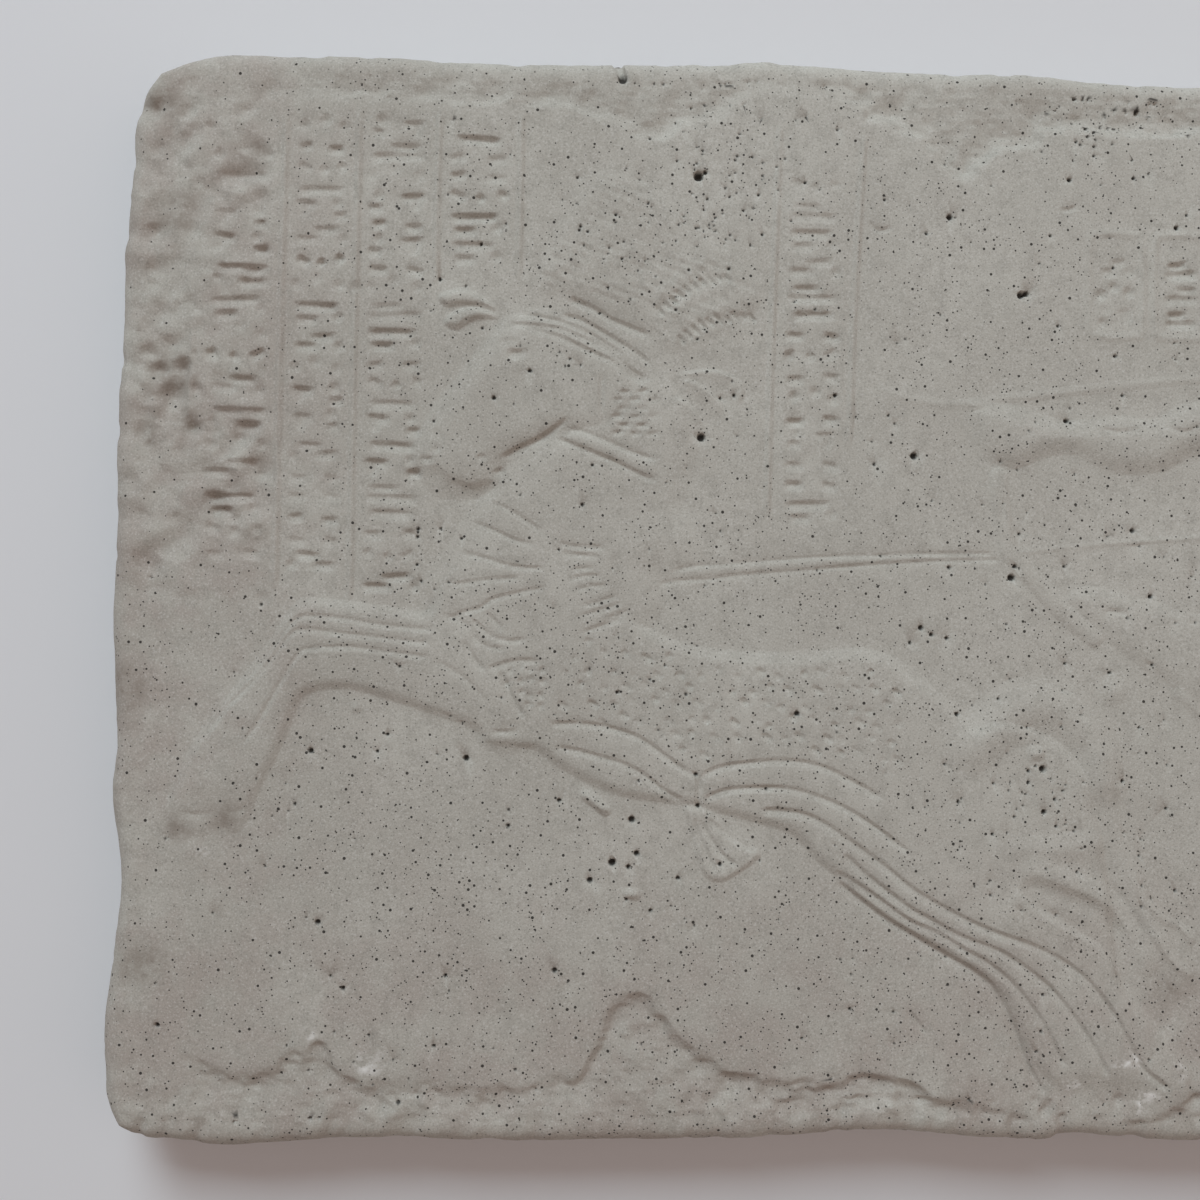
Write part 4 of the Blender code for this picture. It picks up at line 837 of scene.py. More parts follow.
class Face:
    """The heights of the relief above the plaque's field in millimetres, on a grid over the drawing."""

    def __init__(self, columns, rows):
        inset = RIM_RADIUS / UNIT
        self.x = np.linspace(DRAWING_LEFT + inset, DRAWING_RIGHT - inset, columns + 1)
        self.z = np.linspace(DRAWING_LOW + inset, DRAWING_TOP - inset, rows + 1)
        self.place = (self.x[None, :], self.z[:, None])
        self.height = np.zeros((rows + 1, columns + 1))
        self.vigour = 1.0 + VIGOUR_SPREAD * uneven(self.place, VIGOUR_SIZE, seed=51)

    def window(self, low, high):
        """The rows and columns of the grid between two corners."""
        columns = slice(*np.searchsorted(self.x, (low[0], high[0])))
        rows = slice(*np.searchsorted(self.z, (low[1], high[1])))
        return rows, columns

    def near(self, curve, margin):
        """For the grid within margin of a curve: its window, the distance to the curve, the distance
        across it, positive on the curve's left, and how far along the curve the nearest point is."""
        rows, columns = self.window(curve.min(axis=0) - margin, curve.max(axis=0) + margin)
        x = self.x[columns]
        z = self.z[rows]
        distance = np.full((len(z), len(x)), float(margin))
        across = np.full_like(distance, float(margin))
        along = np.zeros_like(distance)
        run = 0.0
        for start, end in zip(curve, curve[1:]):
            step = end - start
            length = math.hypot(*step)
            if length == 0.0:
                continue
            low = np.minimum(start, end) - margin
            high = np.maximum(start, end) + margin
            part = (
                slice(*np.searchsorted(z, (low[1], high[1]))),
                slice(*np.searchsorted(x, (low[0], high[0]))),
            )
            dx = x[part[1]][None, :] - start[0]
            dz = z[part[0]][:, None] - start[1]
            share = np.clip((dx * step[0] + dz * step[1]) / length**2, 0.0, 1.0)
            here = np.hypot(dx - share * step[0], dz - share * step[1])
            closer = here < distance[part]
            distance[part] = np.where(closer, here, distance[part])
            left = (dz * step[0] - dx * step[1]) / length
            across[part] = np.where(closer, left, across[part])
            along[part] = np.where(closer, run + share * length, along[part])
            run += length
        return (rows, columns), distance, across, along, run

    def inside(self, window, curve):
        """True where the grid of a window lies inside a closed curve."""
        rows, columns = window
        x = self.x[columns]
        z = self.z[rows]
        within = np.zeros((len(z), len(x)), bool)
        for start, end in zip(curve, np.roll(curve, -1, axis=0)):
            low, high = sorted((start[1], end[1]))
            crossed = (z >= low) & (z < high)
            if crossed.any():
                at = start[0] + (z[crossed] - start[1]) * (end[0] - start[0]) / (end[1] - start[1])
                within[crossed] ^= x[None, :] > at[:, None]
        return within

    def depth_inside(self, outline, reach):
        """A window, and there how far inside a smooth closed outline the grid is, up to reach."""
        curve = smooth_curve(outline, closed=True)
        window, distance, _, _, _ = self.near(curve, reach)
        return window, np.where(self.inside(window, curve), distance, 0.0)

    def raise_area(self, outline, rise, edge=FIGURE_EDGE, swell=0.0):
        """Raises a figure to at least the given height, with a rounded edge and a swell in the middle."""
        window, depth = self.depth_inside(outline, SWELL_REACH if swell else edge)
        body = rise * np.sin(0.5 * math.pi * np.clip(depth / edge, 0.0, 1.0))
        body += swell * eased(depth / SWELL_REACH)
        self.height[window] = np.maximum(self.height[window], body)

    def add_area(self, outline, rise, edge=FIGURE_EDGE):
        """Adds a height to all that an outline holds."""
        window, depth = self.depth_inside(outline, edge)
        self.height[window] += rise * np.sin(0.5 * math.pi * depth / edge)

    def raise_band(self, points, width, rise, closed=False, soft=False):
        """Raises a round-topped band along a middle line to at least the given height. A soft one's sides
        run out gently into the ground, and it is added to what is there."""
        window, distance, _, _, _ = self.near(smooth_curve(points, closed), 0.5 * width)
        if soft:
            self.height[window] += rise * eased(1.0 - 2.0 * distance / width)
        else:
            crown = np.sqrt(np.clip(1.0 - (2.0 * distance / width) ** 2, 0.0, 1.0))
            self.height[window] = np.maximum(self.height[window], rise * crown)

    def line(self, points, depth=GROOVE_DEPTH, width=GROOVE_WIDTH, lift=0.0, ease=LINE_EASE):
        """Cuts a groove, steeper on the line's left, or raises an even bead where depth is negative, and
        lifts the ground on the line's left above that on its right. It fades out over ease at both ends."""
        steep = STEEP_SIDE if depth > 0.0 else 1.0
        reach = max((1.0 - 0.5 * steep) * width, 3.0 * LAYER_FADE if lift else 0.0)
        window, distance, across, along, length = self.near(smooth_curve(points), reach)
        ease = min(ease, 0.35 * length)
        ends = eased(np.minimum(along, length - along) / ease) * self.vigour[window]
        half = 0.5 * width * np.where(across > 0.0, steep, 2.0 - steep)
        cut = np.cos(0.5 * math.pi * np.clip(distance / half, 0.0, 1.0)) ** GROOVE_SHARPNESS
        self.height[window] -= depth * cut * ends
        if lift:
            fade = np.exp(-distance / LAYER_FADE) * eased(4.0 * (1.0 - distance / reach))
            self.height[window] += lift * np.tanh(4.0 * across / width) * fade * ends

    def oval(self, x, z, reach_x, reach_z):
        """The window around an oval, and there how far from its middle the grid is, with 1 on its rim."""
        rows, columns = self.window((x - reach_x, z - reach_z), (x + reach_x, z + reach_z))
        across = (self.x[columns][None, :] - x) / reach_x
        up = (self.z[rows][:, None] - z) / reach_z
        return (rows, columns), np.hypot(across, up)

    def dent(self, x, z, radius, depth):
        """Makes a round hollow, or a mound where depth is negative."""
        window, apart = self.oval(x, z, radius, radius)
        self.height[window] -= depth * eased(1.0 - apart)

    def wear(self, x, z, reach_x, reach_z, share):
        """Takes a share of the relief off within an oval."""
        window, apart = self.oval(x, z, reach_x, reach_z)
        self.height[window] *= 1.0 - share * eased(WEAR_SHARPNESS * (1.0 - apart))

    def pore(self, x, z, radius):
        """Sinks an air-bubble hole with steep sides."""
        window, apart = self.oval(x, z, radius, radius)
        self.height[window] -= PORE_DEEPNESS * radius * np.sqrt(np.clip(1.0 - apart**2, 0.0, 1.0))

    def soften(self, passes):
        """Wears every edge a little, by averaging each point with its neighbours."""
        for _ in range(passes):
            padded = np.pad(self.height, 1, mode="edge")
            across = 0.25 * padded[:, :-2] + 0.5 * padded[:, 1:-1] + 0.25 * padded[:, 2:]
            self.height = 0.25 * across[:-2] + 0.5 * across[1:-1] + 0.25 * across[2:]


def cut_lines(face, table):
    for paths, *shape in table:
        for path in paths:
            face.line(path, *shape)


def raise_figures(face):
    """Raises the outlines first, then what lies on them, and takes off what the hooves have lost."""
    for outline, *shape in FIGURES:
        face.raise_area(outline, *shape)
    face.raise_band(BOW_LIMB, BOW_WIDTH, 0.5 * FIGURE_RISE)
    face.add_area(QUIVER, HEAD_RISE)
    face.raise_band(SHAFT, SHAFT_WIDTH, LIMB_RISE)
    face.raise_band(circle(WHEEL_CENTRE, WHEEL_RADIUS), WHEEL_RIM_WIDTH, WHEEL_RISE, closed=True)
    for spoke in range(WHEEL_SPOKES):
        turn = math.tau * (spoke + 0.5) / WHEEL_SPOKES
        rim = np.add(WHEEL_CENTRE, (WHEEL_RADIUS * math.cos(turn), WHEEL_RADIUS * math.sin(turn)))
        face.raise_band((WHEEL_CENTRE, rim), SPOKE_WIDTH, WHEEL_RISE)
    face.raise_area(circle(WHEEL_CENTRE, WHEEL_HUB_RADIUS), WHEEL_RISE)
    face.dent(*WHEEL_CENTRE, *AXLE_DENT)
    for path, width, rise in SOFT_BANDS:
        face.raise_band(path, width, rise, soft=True)
    cut_lines(face, TAIL_LINES)
    face.add_area(BELLY_KNOT, HEAD_RISE)
    for mound in HORSE_MOUNDS:
        face.dent(*mound)
    for hoof in WORN_HOOVES:
        face.wear(*hoof)


def wear_border(face):
    """Drops the worn border below the field outside the field's broken, ragged edge, and roughens it."""
    left, right = DRAWING_LEFT - OUTSIDE, DRAWING_RIGHT + OUTSIDE
    low, top = DRAWING_LOW - OUTSIDE, DRAWING_TOP + OUTSIDE
    x, z = face.place
    edges = (
        (FIELD_TOP, (right, top), (left, top), TOP_SLOPE, np.interp(x, *zip(*TOP_STRENGTH))),
        (FIELD_LOW, (right, low), (left, low), LOW_SLOPE, np.interp(x, *zip(*LOW_STRENGTH))),
        (FIELD_LEFT, (left, top), (left, low), LEFT_SLOPE, LEFT_STRENGTH),
        (FIELD_RIGHT, (right, top), (right, low), RIGHT_SLOPE, RIGHT_STRENGTH),
    )
    ragged = RAGGEDNESS * layered(face.place, RAGGED_LAYERS)
    drop = np.zeros_like(face.height)
    for path, first_corner, second_corner, slope, share in edges:
        curve = np.vstack([smooth_curve(path), first_corner, second_corner])
        window, distance, _, _, _ = face.near(np.vstack([curve, curve[:1]]), BORDER_REACH)
        strength = np.broadcast_to(share, face.height.shape)[window]
        strayed = distance + ragged[window] * eased(distance)
        distance = np.where(distance < BORDER_REACH, strayed, distance)
        sunk = BORDER_DROP * eased(distance / slope) - BORDER_RISE_AGAIN * eased(distance / BORDER_REACH)
        sunk = np.where(face.inside(window, curve), strength * sunk, 0.0)
        drop[window] = np.maximum(drop[window], sunk)
    left_side = LEFT_LUMPS_LOW + (1.0 - LEFT_LUMPS_LOW) * ramp(z, *LEFT_LUMPS_Z)
    left_side = ramp(x, *LEFT_LUMPS_X) * left_side
    share = np.maximum(eased(LUMPS_START * drop / BORDER_DROP), LEFT_LUMPS * left_side)
    face.height += BORDER_LUMPS * layered(face.place, LUMP_LAYERS) * share - drop


def batter(face):
    """Scatters round hollows and mounds where the casting is roughest."""
    draw = np.random.default_rng(19)
    for left, low, right, top, count, smallest, largest in BATTERED:
        for _ in range(count):
            x = left + (right - left) * draw.uniform() ** DENT_CROWDING
            radius = draw.uniform(smallest, largest)
            depth = DENT_SLOPE * (DENT_LEAST + radius) * draw.uniform(*DENT_RANGE)
            face.dent(x, draw.uniform(low, top), radius, depth)


def strokes_between(face, left, right, low, top, seed):
    """Fills a column with rows of plain strokes of mixed kinds, some cut boldly and some faintly."""
    draw = np.random.default_rng(seed)
    width = right - left
    row = low + COLUMN_LOW_MARGIN
    while row < top - COLUMN_TOP_MARGIN:
        height, strokes, pits = STROKE_KINDS[draw.integers(len(STROKE_KINDS))]
        depth = draw.uniform(*STROKE_BOLDNESS) * STROKE_DEPTH
        mirrored = draw.uniform() < 0.5
        squeeze = draw.uniform(*STROKE_LENGTHS)
        tilt = draw.uniform(-STROKE_TILT, STROKE_TILT)

        def place(point):
            share = 1.0 - point[0] if mirrored else point[0]
            across = 0.5 + squeeze * (share - 0.5)
            return left + across * width, row + point[1] + tilt * (across - 0.5)

        for path in strokes:
            face.line(sorted(place(point) for point in path), depth, STROKE_WIDTH)
        for pit in pits:
            face.dent(*place(pit), STROKE_PIT, STROKE_PIT_DEPTH * depth)
        worn_x = left + draw.uniform(0.2, 0.8) * width
        wear = draw.uniform(-STROKE_WEAR_DEPTH, STROKE_WEAR_DEPTH)
        face.dent(worn_x, row + 0.5 * height, STROKE_WEAR, wear)
        row += height * draw.uniform(*ROW_HEIGHTS)


def cut_strokes(face):
    """Fills the columns and the frames with strokes, and raises the dividers and the frames."""
    for column in STROKE_COLUMNS:
        strokes_between(face, *column)
    for path in DIVIDERS:
        face.line(path, DIVIDER_TROUGH, TROUGH_WIDTH)
        face.line(path, -DIVIDER_RISE, DIVIDER_WIDTH)
    for left, right, low, top, seed in FRAMES:
        bevel = FRAME_CORNER
        ring = (
            (left + bevel, low), (right - bevel, low), (right, low + bevel), (right, top - bevel),
            (right - bevel, top), (left + bevel, top), (left, top - bevel), (left, low + bevel),
        )
        window, distance, _, _, _ = face.near(smooth_curve(ring, closed=True), FRAME_EDGE)
        face.height[window] += 0.5 * DIVIDER_RISE * np.clip(1.0 - distance / FRAME_EDGE, 0.0, 1.0)
        inner = FRAME_MARGIN
        strokes_between(face, left + inner, right - inner, low + inner, top - inner, seed)


def carve_blinker(face):
    """Covers the blinker with rows of short cuts."""
    draw = np.random.default_rng(59)
    length, gap, row_gap = BLINKER_CUTS
    left, below, right, above = BLINKER_MARGINS
    window, _ = face.depth_inside(BLINKER, BLINKER_EDGE)
    low_x, high_x = face.x[window[1]][[0, -1]]
    low_z, high_z = face.z[window[0]][[0, -1]]
    for row, z in enumerate(np.arange(low_z + below, high_z - above, row_gap)):
        for x in np.arange(low_x + left + row % 2, high_x - right, gap):
            end = (x + length, z + draw.uniform(*BLINKER_RISES))
            face.line(((x, z), end), draw.uniform(*BLINKER_DEPTHS), FINE_WIDTH)


def carve_plume(face):
    """Roughens the plume and hatches the bands at its foot."""
    draw = np.random.default_rng(61)
    window, depth = face.depth_inside(PLUME, PLUME_EDGE)
    grain = layered((face.x[window[1]][None, :], face.z[window[0]][:, None]), PLUME_LAYERS)
    face.height[window] += PLUME_UNEVENNESS * grain * eased(depth / PLUME_EDGE)
    for path in HATCH_ROWS:
        curve = smooth_curve(path)
        run = np.concatenate([[0.0], np.cumsum(np.linalg.norm(np.diff(curve, axis=0), axis=1))])
        for place in np.arange(0.5, run[-1], HATCH_PITCH):
            middle = np.array([np.interp(place, run, curve[:, 0]), np.interp(place, run, curve[:, 1])])
            half = np.array(HATCH_HALF) * draw.uniform(*HATCH_LENGTHS)
            face.line((middle - half, middle + half), *HATCH_CUT)


def pit_breast(face):
    """Dots the breast with rows of small pits, except in its low left corner."""
    draw = np.random.default_rng(65)
    left, low, right, top = BREAST
    for z in np.arange(low, top, BREAST_PITCH):
        for x in np.arange(left, right, BREAST_PITCH):
            if (x - left) + BREAST_SLOPE * (z - low) > BREAST_CORNER:
                at_x = x + draw.uniform(-BREAST_STRAY, BREAST_STRAY)
                at_z = z + draw.uniform(-BREAST_STRAY, BREAST_STRAY)
                face.dent(at_x, at_z, *BREAST_SPOT)


def carve_blanket(face):
    """Pits the blanket with slanted lens-shaped spots."""
    draw = np.random.default_rng(67)
    curve = smooth_curve(BLANKET, closed=True)
    window, _, _, _, _ = face.near(curve, 1.0)
    within = face.inside(window, curve)
    columns = face.x[window[1]]
    rows = face.z[window[0]]
    start, end, pitch = BLANKET_COLUMNS
    for index, z in enumerate(np.arange(*BLANKET_ROWS)):
        for x in np.arange(start + 0.5 * pitch * (index % 2), end, pitch):
            at_x = x + draw.uniform(-BLANKET_STRAY[0], BLANKET_STRAY[0])
            at_z = z + draw.uniform(-BLANKET_STRAY[1], BLANKET_STRAY[1])
            column = min(np.searchsorted(columns, at_x), len(columns) - 1)
            row = min(np.searchsorted(rows, at_z), len(rows) - 1)
            if within[row, column]:
                half = draw.uniform(*BLANKET_HALVES)
                drop = BLANKET_SLANT * half
                ends = ((at_x - half, at_z + drop), (at_x + half, at_z - drop))
                face.line(ends, draw.uniform(*BLANKET_DEPTHS), GROOVE_WIDTH)


def pleat_kilt(face):
    for low_x in np.linspace(*PLEATS):
        top_x = 0.5 * (low_x + PLEAT_MIDDLE)
        face.line(((top_x, PLEAT_TOP), (low_x, PLEAT_LOW)), *PLEAT_CUT)


def pore_places():
    """Every air-bubble hole that is modelled, as rows of (x, z, radius)."""
    draw = np.random.default_rng(71)
    places = list(LARGE_PORES)
    low = (DRAWING_LEFT + PORE_MARGIN, DRAWING_LOW + PORE_MARGIN)
    high = (DRAWING_RIGHT - PORE_MARGIN, DRAWING_TOP - PORE_MARGIN)
    for _ in range(PORE_COUNT):
        radius = PORE_SMALLEST + PORE_SPREAD * draw.uniform() ** 3
        x = draw.uniform(low[0], high[0])
        z = draw.uniform(low[1], high[1])
        if x > PORE_FREE[0] or z < PORE_FREE[1]:
            places.append((x, z, radius))
    for x, z, spread, count in PORE_CLUSTERS:
        for _ in range(count):
            radius = PORE_SMALLEST + CLUSTER_SPREAD * draw.uniform() ** 2
            at_x = np.clip(draw.normal(x, 0.5 * spread), low[0], high[0])
            at_z = np.clip(draw.normal(z, 0.5 * spread), low[1], high[1])
            places.append((at_x, at_z, radius))
    return np.array(places)


def carved_face(columns, rows, pores):
    face = Face(columns, rows)
    raise_figures(face)
    wear_border(face)
    batter(face)
    cut_strokes(face)
    cut_lines(face, CARVED_LINES)
    carve_blinker(face)
    carve_plume(face)
    pit_breast(face)
    carve_blanket(face)
    pleat_kilt(face)
    for mound in HEAD_MOUNDS + CHIPS:
        face.dent(*mound)
    face.height += FIELD_UNEVENNESS * layered(face.place, FIELD_LAYERS)
    face.soften(passes=1)
    for x, z, radius in pores:
        face.pore(x, z, radius)
    return face


def stray(places, at):
    """How far an uneven edge strays outwards at each place along it."""
    curve = smooth_curve(places)
    return np.interp(at, curve[:, 0], curve[:, 1])


def rounded_corner(x, z, corner, reach, toward):
    """Moves points near a corner of the sheet so that the corner becomes an arc."""
    across = np.clip(1.0 - (x - corner[0]) * toward[0] / reach[0], 0.0, 1.0)
    up = np.clip(1.0 - (z - corner[1]) * toward[1] / reach[1], 0.0, 1.0)
    x = x + toward[0] * reach[0] * across * (1.0 - np.sqrt(1.0 - 0.5 * up**2))
    z = z + toward[1] * reach[1] * up * (1.0 - np.sqrt(1.0 - 0.5 * across**2))
    return x, z


def plaque_outline(x, z):
    """Moves the straight-edged sheet's points to the plaque's rounded and uneven outline."""
    from_left = np.exp(-(((x - DRAWING_LEFT) / STRAY_FADE) ** 2))
    from_right = np.exp(-(((DRAWING_RIGHT - x) / STRAY_FADE) ** 2))
    from_low = np.exp(-(((z - DRAWING_LOW) / STRAY_FADE) ** 2))
    from_top = np.exp(-(((DRAWING_TOP - z) / STRAY_FADE) ** 2))
    moved_x = x - stray(STRAY_LEFT, z) * from_left + stray(STRAY_RIGHT, z) * from_right
    moved_z = z - stray(STRAY_LOW, x) * from_low + stray(STRAY_TOP, x) * from_top
    corners = (
        ((DRAWING_LEFT, DRAWING_TOP), CORNER_TOP_LEFT, (1, -1)),
        ((DRAWING_LEFT, DRAWING_LOW), CORNER_LOW_LEFT, (1, 1)),
        ((DRAWING_RIGHT, DRAWING_TOP), CORNER_TOP_RIGHT, (-1, -1)),
        ((DRAWING_RIGHT, DRAWING_LOW), CORNER_LOW_RIGHT, (-1, 1)),
    )
    for corner, reach, toward in corners:
        moved_x, moved_z = rounded_corner(moved_x, moved_z, corner, reach, toward)
    return moved_x, moved_z


def to_millimetres(x, z):
    """A place in the drawing, in millimetres from the plaque's middle."""
    return (
        ((x - DRAWING_LEFT) / DRAWING_WIDTH - 0.5) * WIDTH,
        ((z - DRAWING_LOW) / DRAWING_HEIGHT - 0.5) * HEIGHT,
    )


def ring_profile():
    """For each ring from the back edge inwards, its inset from the side and its sink below the face."""
    turns = np.radians(np.linspace(0.0, 90.0, RIM_STEPS + 1))
    wall = np.linspace(THICKNESS, RIM_RADIUS, WALL_STEPS, endpoint=False)
    inset = np.concatenate([np.zeros(WALL_STEPS), RIM_RADIUS * (1.0 - np.cos(turns))])
    sink = np.concatenate([wall, RIM_RADIUS * (1.0 - np.sin(turns))])
    return inset, sink


def shape_sheet(mesh, columns, rows, face):
    """Drapes a flat square grid over the plaque: its face, its rim and its side walls."""
    count = len(mesh.vertices)
    flat = np.empty(3 * count, np.float32)
    mesh.vertices.foreach_get("co", flat)
    flat = flat.reshape(count, 3)
    wide = columns + 2 * RINGS
    high = rows + 2 * RINGS
    across = np.rint((flat[:, 0] + 0.5) * wide).astype(int)
    up = np.rint((flat[:, 1] + 0.5) * high).astype(int)
    ring = np.minimum.reduce([across, wide - across, up, high - up, np.full(count, RINGS)])
    relief = face.height[np.clip(up - RINGS, 0, rows), np.clip(across - RINGS, 0, columns)]

    ring_inset, ring_sink = ring_profile()
    inset = ring_inset[ring] / UNIT
    u = (across - ring) / (wide - 2 * ring)
    v = (up - ring) / (high - 2 * ring)
    x = DRAWING_LEFT + inset + u * (DRAWING_WIDTH - 2 * inset)
    z = DRAWING_LOW + inset + v * (DRAWING_HEIGHT - 2 * inset)
    x, z = plaque_outline(x, z)
    x, z = to_millimetres(x, z)
    sunk = ring_sink[ring]
    relief_share = np.clip(1.0 - sunk / (2.0 * RIM_RADIUS), 0.0, 1.0) * (ring > WALL_STEPS)
    points = np.stack([x, -(THICKNESS - sunk + relief * relief_share), z], axis=1)
    write_points(mesh, points)

    normals = np.empty(3 * count, np.float32)
    mesh.vertices.foreach_get("normal", normals)
    normals = normals.reshape(count, 3)
    place = (points[:, 0], points[:, 1], points[:, 2])
    rough = 0.5 + layered(place, WALL_LAYERS)
    nicks = np.clip(uneven(place, NICK_SIZE, seed=83) - NICK_LEVEL, 0.0, 1.0)
    worn = WALL_WEAR * np.clip(rough, 0.0, 1.0) + WALL_NICKS * nicks
    side = eased((RINGS - ring) / RIM_STEPS)[:, None]
    points = points - normals * worn[:, None] * side
    points[:, 1] = np.where(ring == 0, 0.0, np.minimum(points[:, 1], 0.0))
    write_points(mesh, points)


def write_points(mesh, points):
    mesh.vertices.foreach_set("co", (points * MM).astype(np.float32).ravel())
    mesh.update()


def close_back(mesh):
    """Flattens the open edge into the back plane and closes it with a plain back."""
    shell = bmesh.new()
    shell.from_mesh(mesh)
    edges = [edge for edge in shell.edges if edge.is_boundary]
    for edge in edges:
        for vertex in edge.verts:
            vertex.co.y = 0.0
    bmesh.ops.holes_fill(shell, edges=edges)
    bmesh.ops.triangulate(shell, faces=[face for face in shell.faces if len(face.verts) > 3])
    bmesh.ops.recalc_face_normals(shell, faces=shell.faces)
    shell.to_mesh(mesh)
    shell.free()


def mark_places(mesh, name, places, edge=4.0):
    """Stores how far inside one of the round places each vertex of the face lies, for the material. The
    higher edge is, the sharper is each place's rim."""
    count = len(mesh.vertices)
    points = np.empty(3 * count, np.float32)
    mesh.vertices.foreach_get("co", points)
    points = points.reshape(count, 3) / MM
    front = np.flatnonzero(points[:, 1] < -0.5 * THICKNESS)
    order = front[np.argsort(points[front, 0])]
    sorted_x = points[order, 0]
    share = np.zeros(count, np.float32)
    for x, z, radius in places:
        middle_x, middle_z = to_millimetres(x, z)
        reach = MARK_REACH * radius * UNIT
        some = order[slice(*np.searchsorted(sorted_x, (middle_x - reach, middle_x + reach)))]
        apart = np.hypot(points[some, 0] - middle_x, points[some, 2] - middle_z)
        share[some] = np.maximum(share[some], eased(edge * (1.0 - apart / reach)))
    attribute = mesh.attributes.new(name, "FLOAT", "POINT")
    attribute.data.foreach_set("value", share)


class Nodes:
    """Short calls for building a material's nodes."""

    def __init__(self, material):
        self.tree = material.node_tree
        coordinates = self.tree.nodes.new("ShaderNodeTexCoord")
        self.object = coordinates.outputs["Object"]

    def node(self, kind, **settings):
        made = self.tree.nodes.new(kind)
        for name, value in settings.items():
            setattr(made, name, value)
        return made

    def feed(self, node, **inputs):
        """Sets a node's inputs, by name or as i0, i1 and so on by number."""
        for name, value in inputs.items():
            numbered = name[0] == "i" and name[1:].isdigit()
            self.set(node.inputs[int(name[1:]) if numbered else name], value)
        return node

    def set(self, socket, value):
        """Links a socket to another one, or gives it a plain value."""
        if isinstance(value, bpy.types.NodeSocket):
            self.tree.links.new(value, socket)
        else:
            socket.default_value = value

    def noise(self, size, detail=3.0, roughness=0.5, shift=0.0):
        """Noise from 0 to 1 with features about size millimetres across."""
        moved = self.node("ShaderNodeVectorMath", operation="ADD")
        self.feed(moved, i0=self.object, i1=(shift, 0.0, shift))
        texture = self.feed(
            self.node("ShaderNodeTexNoise"), Vector=moved.outputs[0], Scale=1.0 / (size * MM), Detail=detail,
            Roughness=roughness,
        )
        return texture.outputs["Fac"]

    def cells(self, size):
        """Cells about size millimetres across, turned so that no row of them lies along the face."""
        turned = self.node("ShaderNodeVectorRotate", rotation_type="EULER_XYZ")
        self.feed(turned, Vector=self.object, Rotation=CELL_TURN)
        cells = self.node("ShaderNodeTexVoronoi")
        return self.feed(cells, Vector=turned.outputs[0], Scale=1.0 / (size * MM))

    def between(self, value, low, high, start=0.0, end=1.0):
        """Maps low to high onto start to end, smoothly and clamped."""
        mapped = self.node("ShaderNodeMapRange", interpolation_type="SMOOTHSTEP")
        self.feed(mapped, i0=value, i1=low, i2=high, i3=start, i4=end)
        return mapped.outputs[0]

    def math(self, operation, first, second=0.0):
        made = self.feed(self.node("ShaderNodeMath", operation=operation), i0=first, i1=second)
        return made.outputs[0]

    def blend(self, share, first, second):
        """Mixes two colours by share."""
        made = self.node("ShaderNodeMix", data_type="RGBA")
        first, second = ((*c, 1.0) if isinstance(c, tuple) else c for c in (first, second))
        self.feed(made, i0=share, i6=first, i7=second)
        return made.outputs[2]


def tiny_pores(nodes, crowd, size, share, radius):
    """A mask of round air-bubble holes in three dimensions, where the material paints the holes' shade:
    cells about size across, of which a share hold a hole up to radius millimetres. Crowd, from 0 to 1, is
    the share of the holes that are kept."""
    cells = nodes.cells(size)
    chance = nodes.feed(nodes.node("ShaderNodeSeparateColor"), Color=cells.outputs["Color"])
    reach = nodes.between(chance.outputs[0], 1.0 - share, 1.0, 0.0, radius / size)
    inside = nodes.math("SUBTRACT", reach, cells.outputs["Distance"])
    kept = nodes.math("LESS_THAN", chance.outputs[1], crowd)
    return nodes.math("MULTIPLY", nodes.between(inside, 0.0, 0.04 / size), kept)


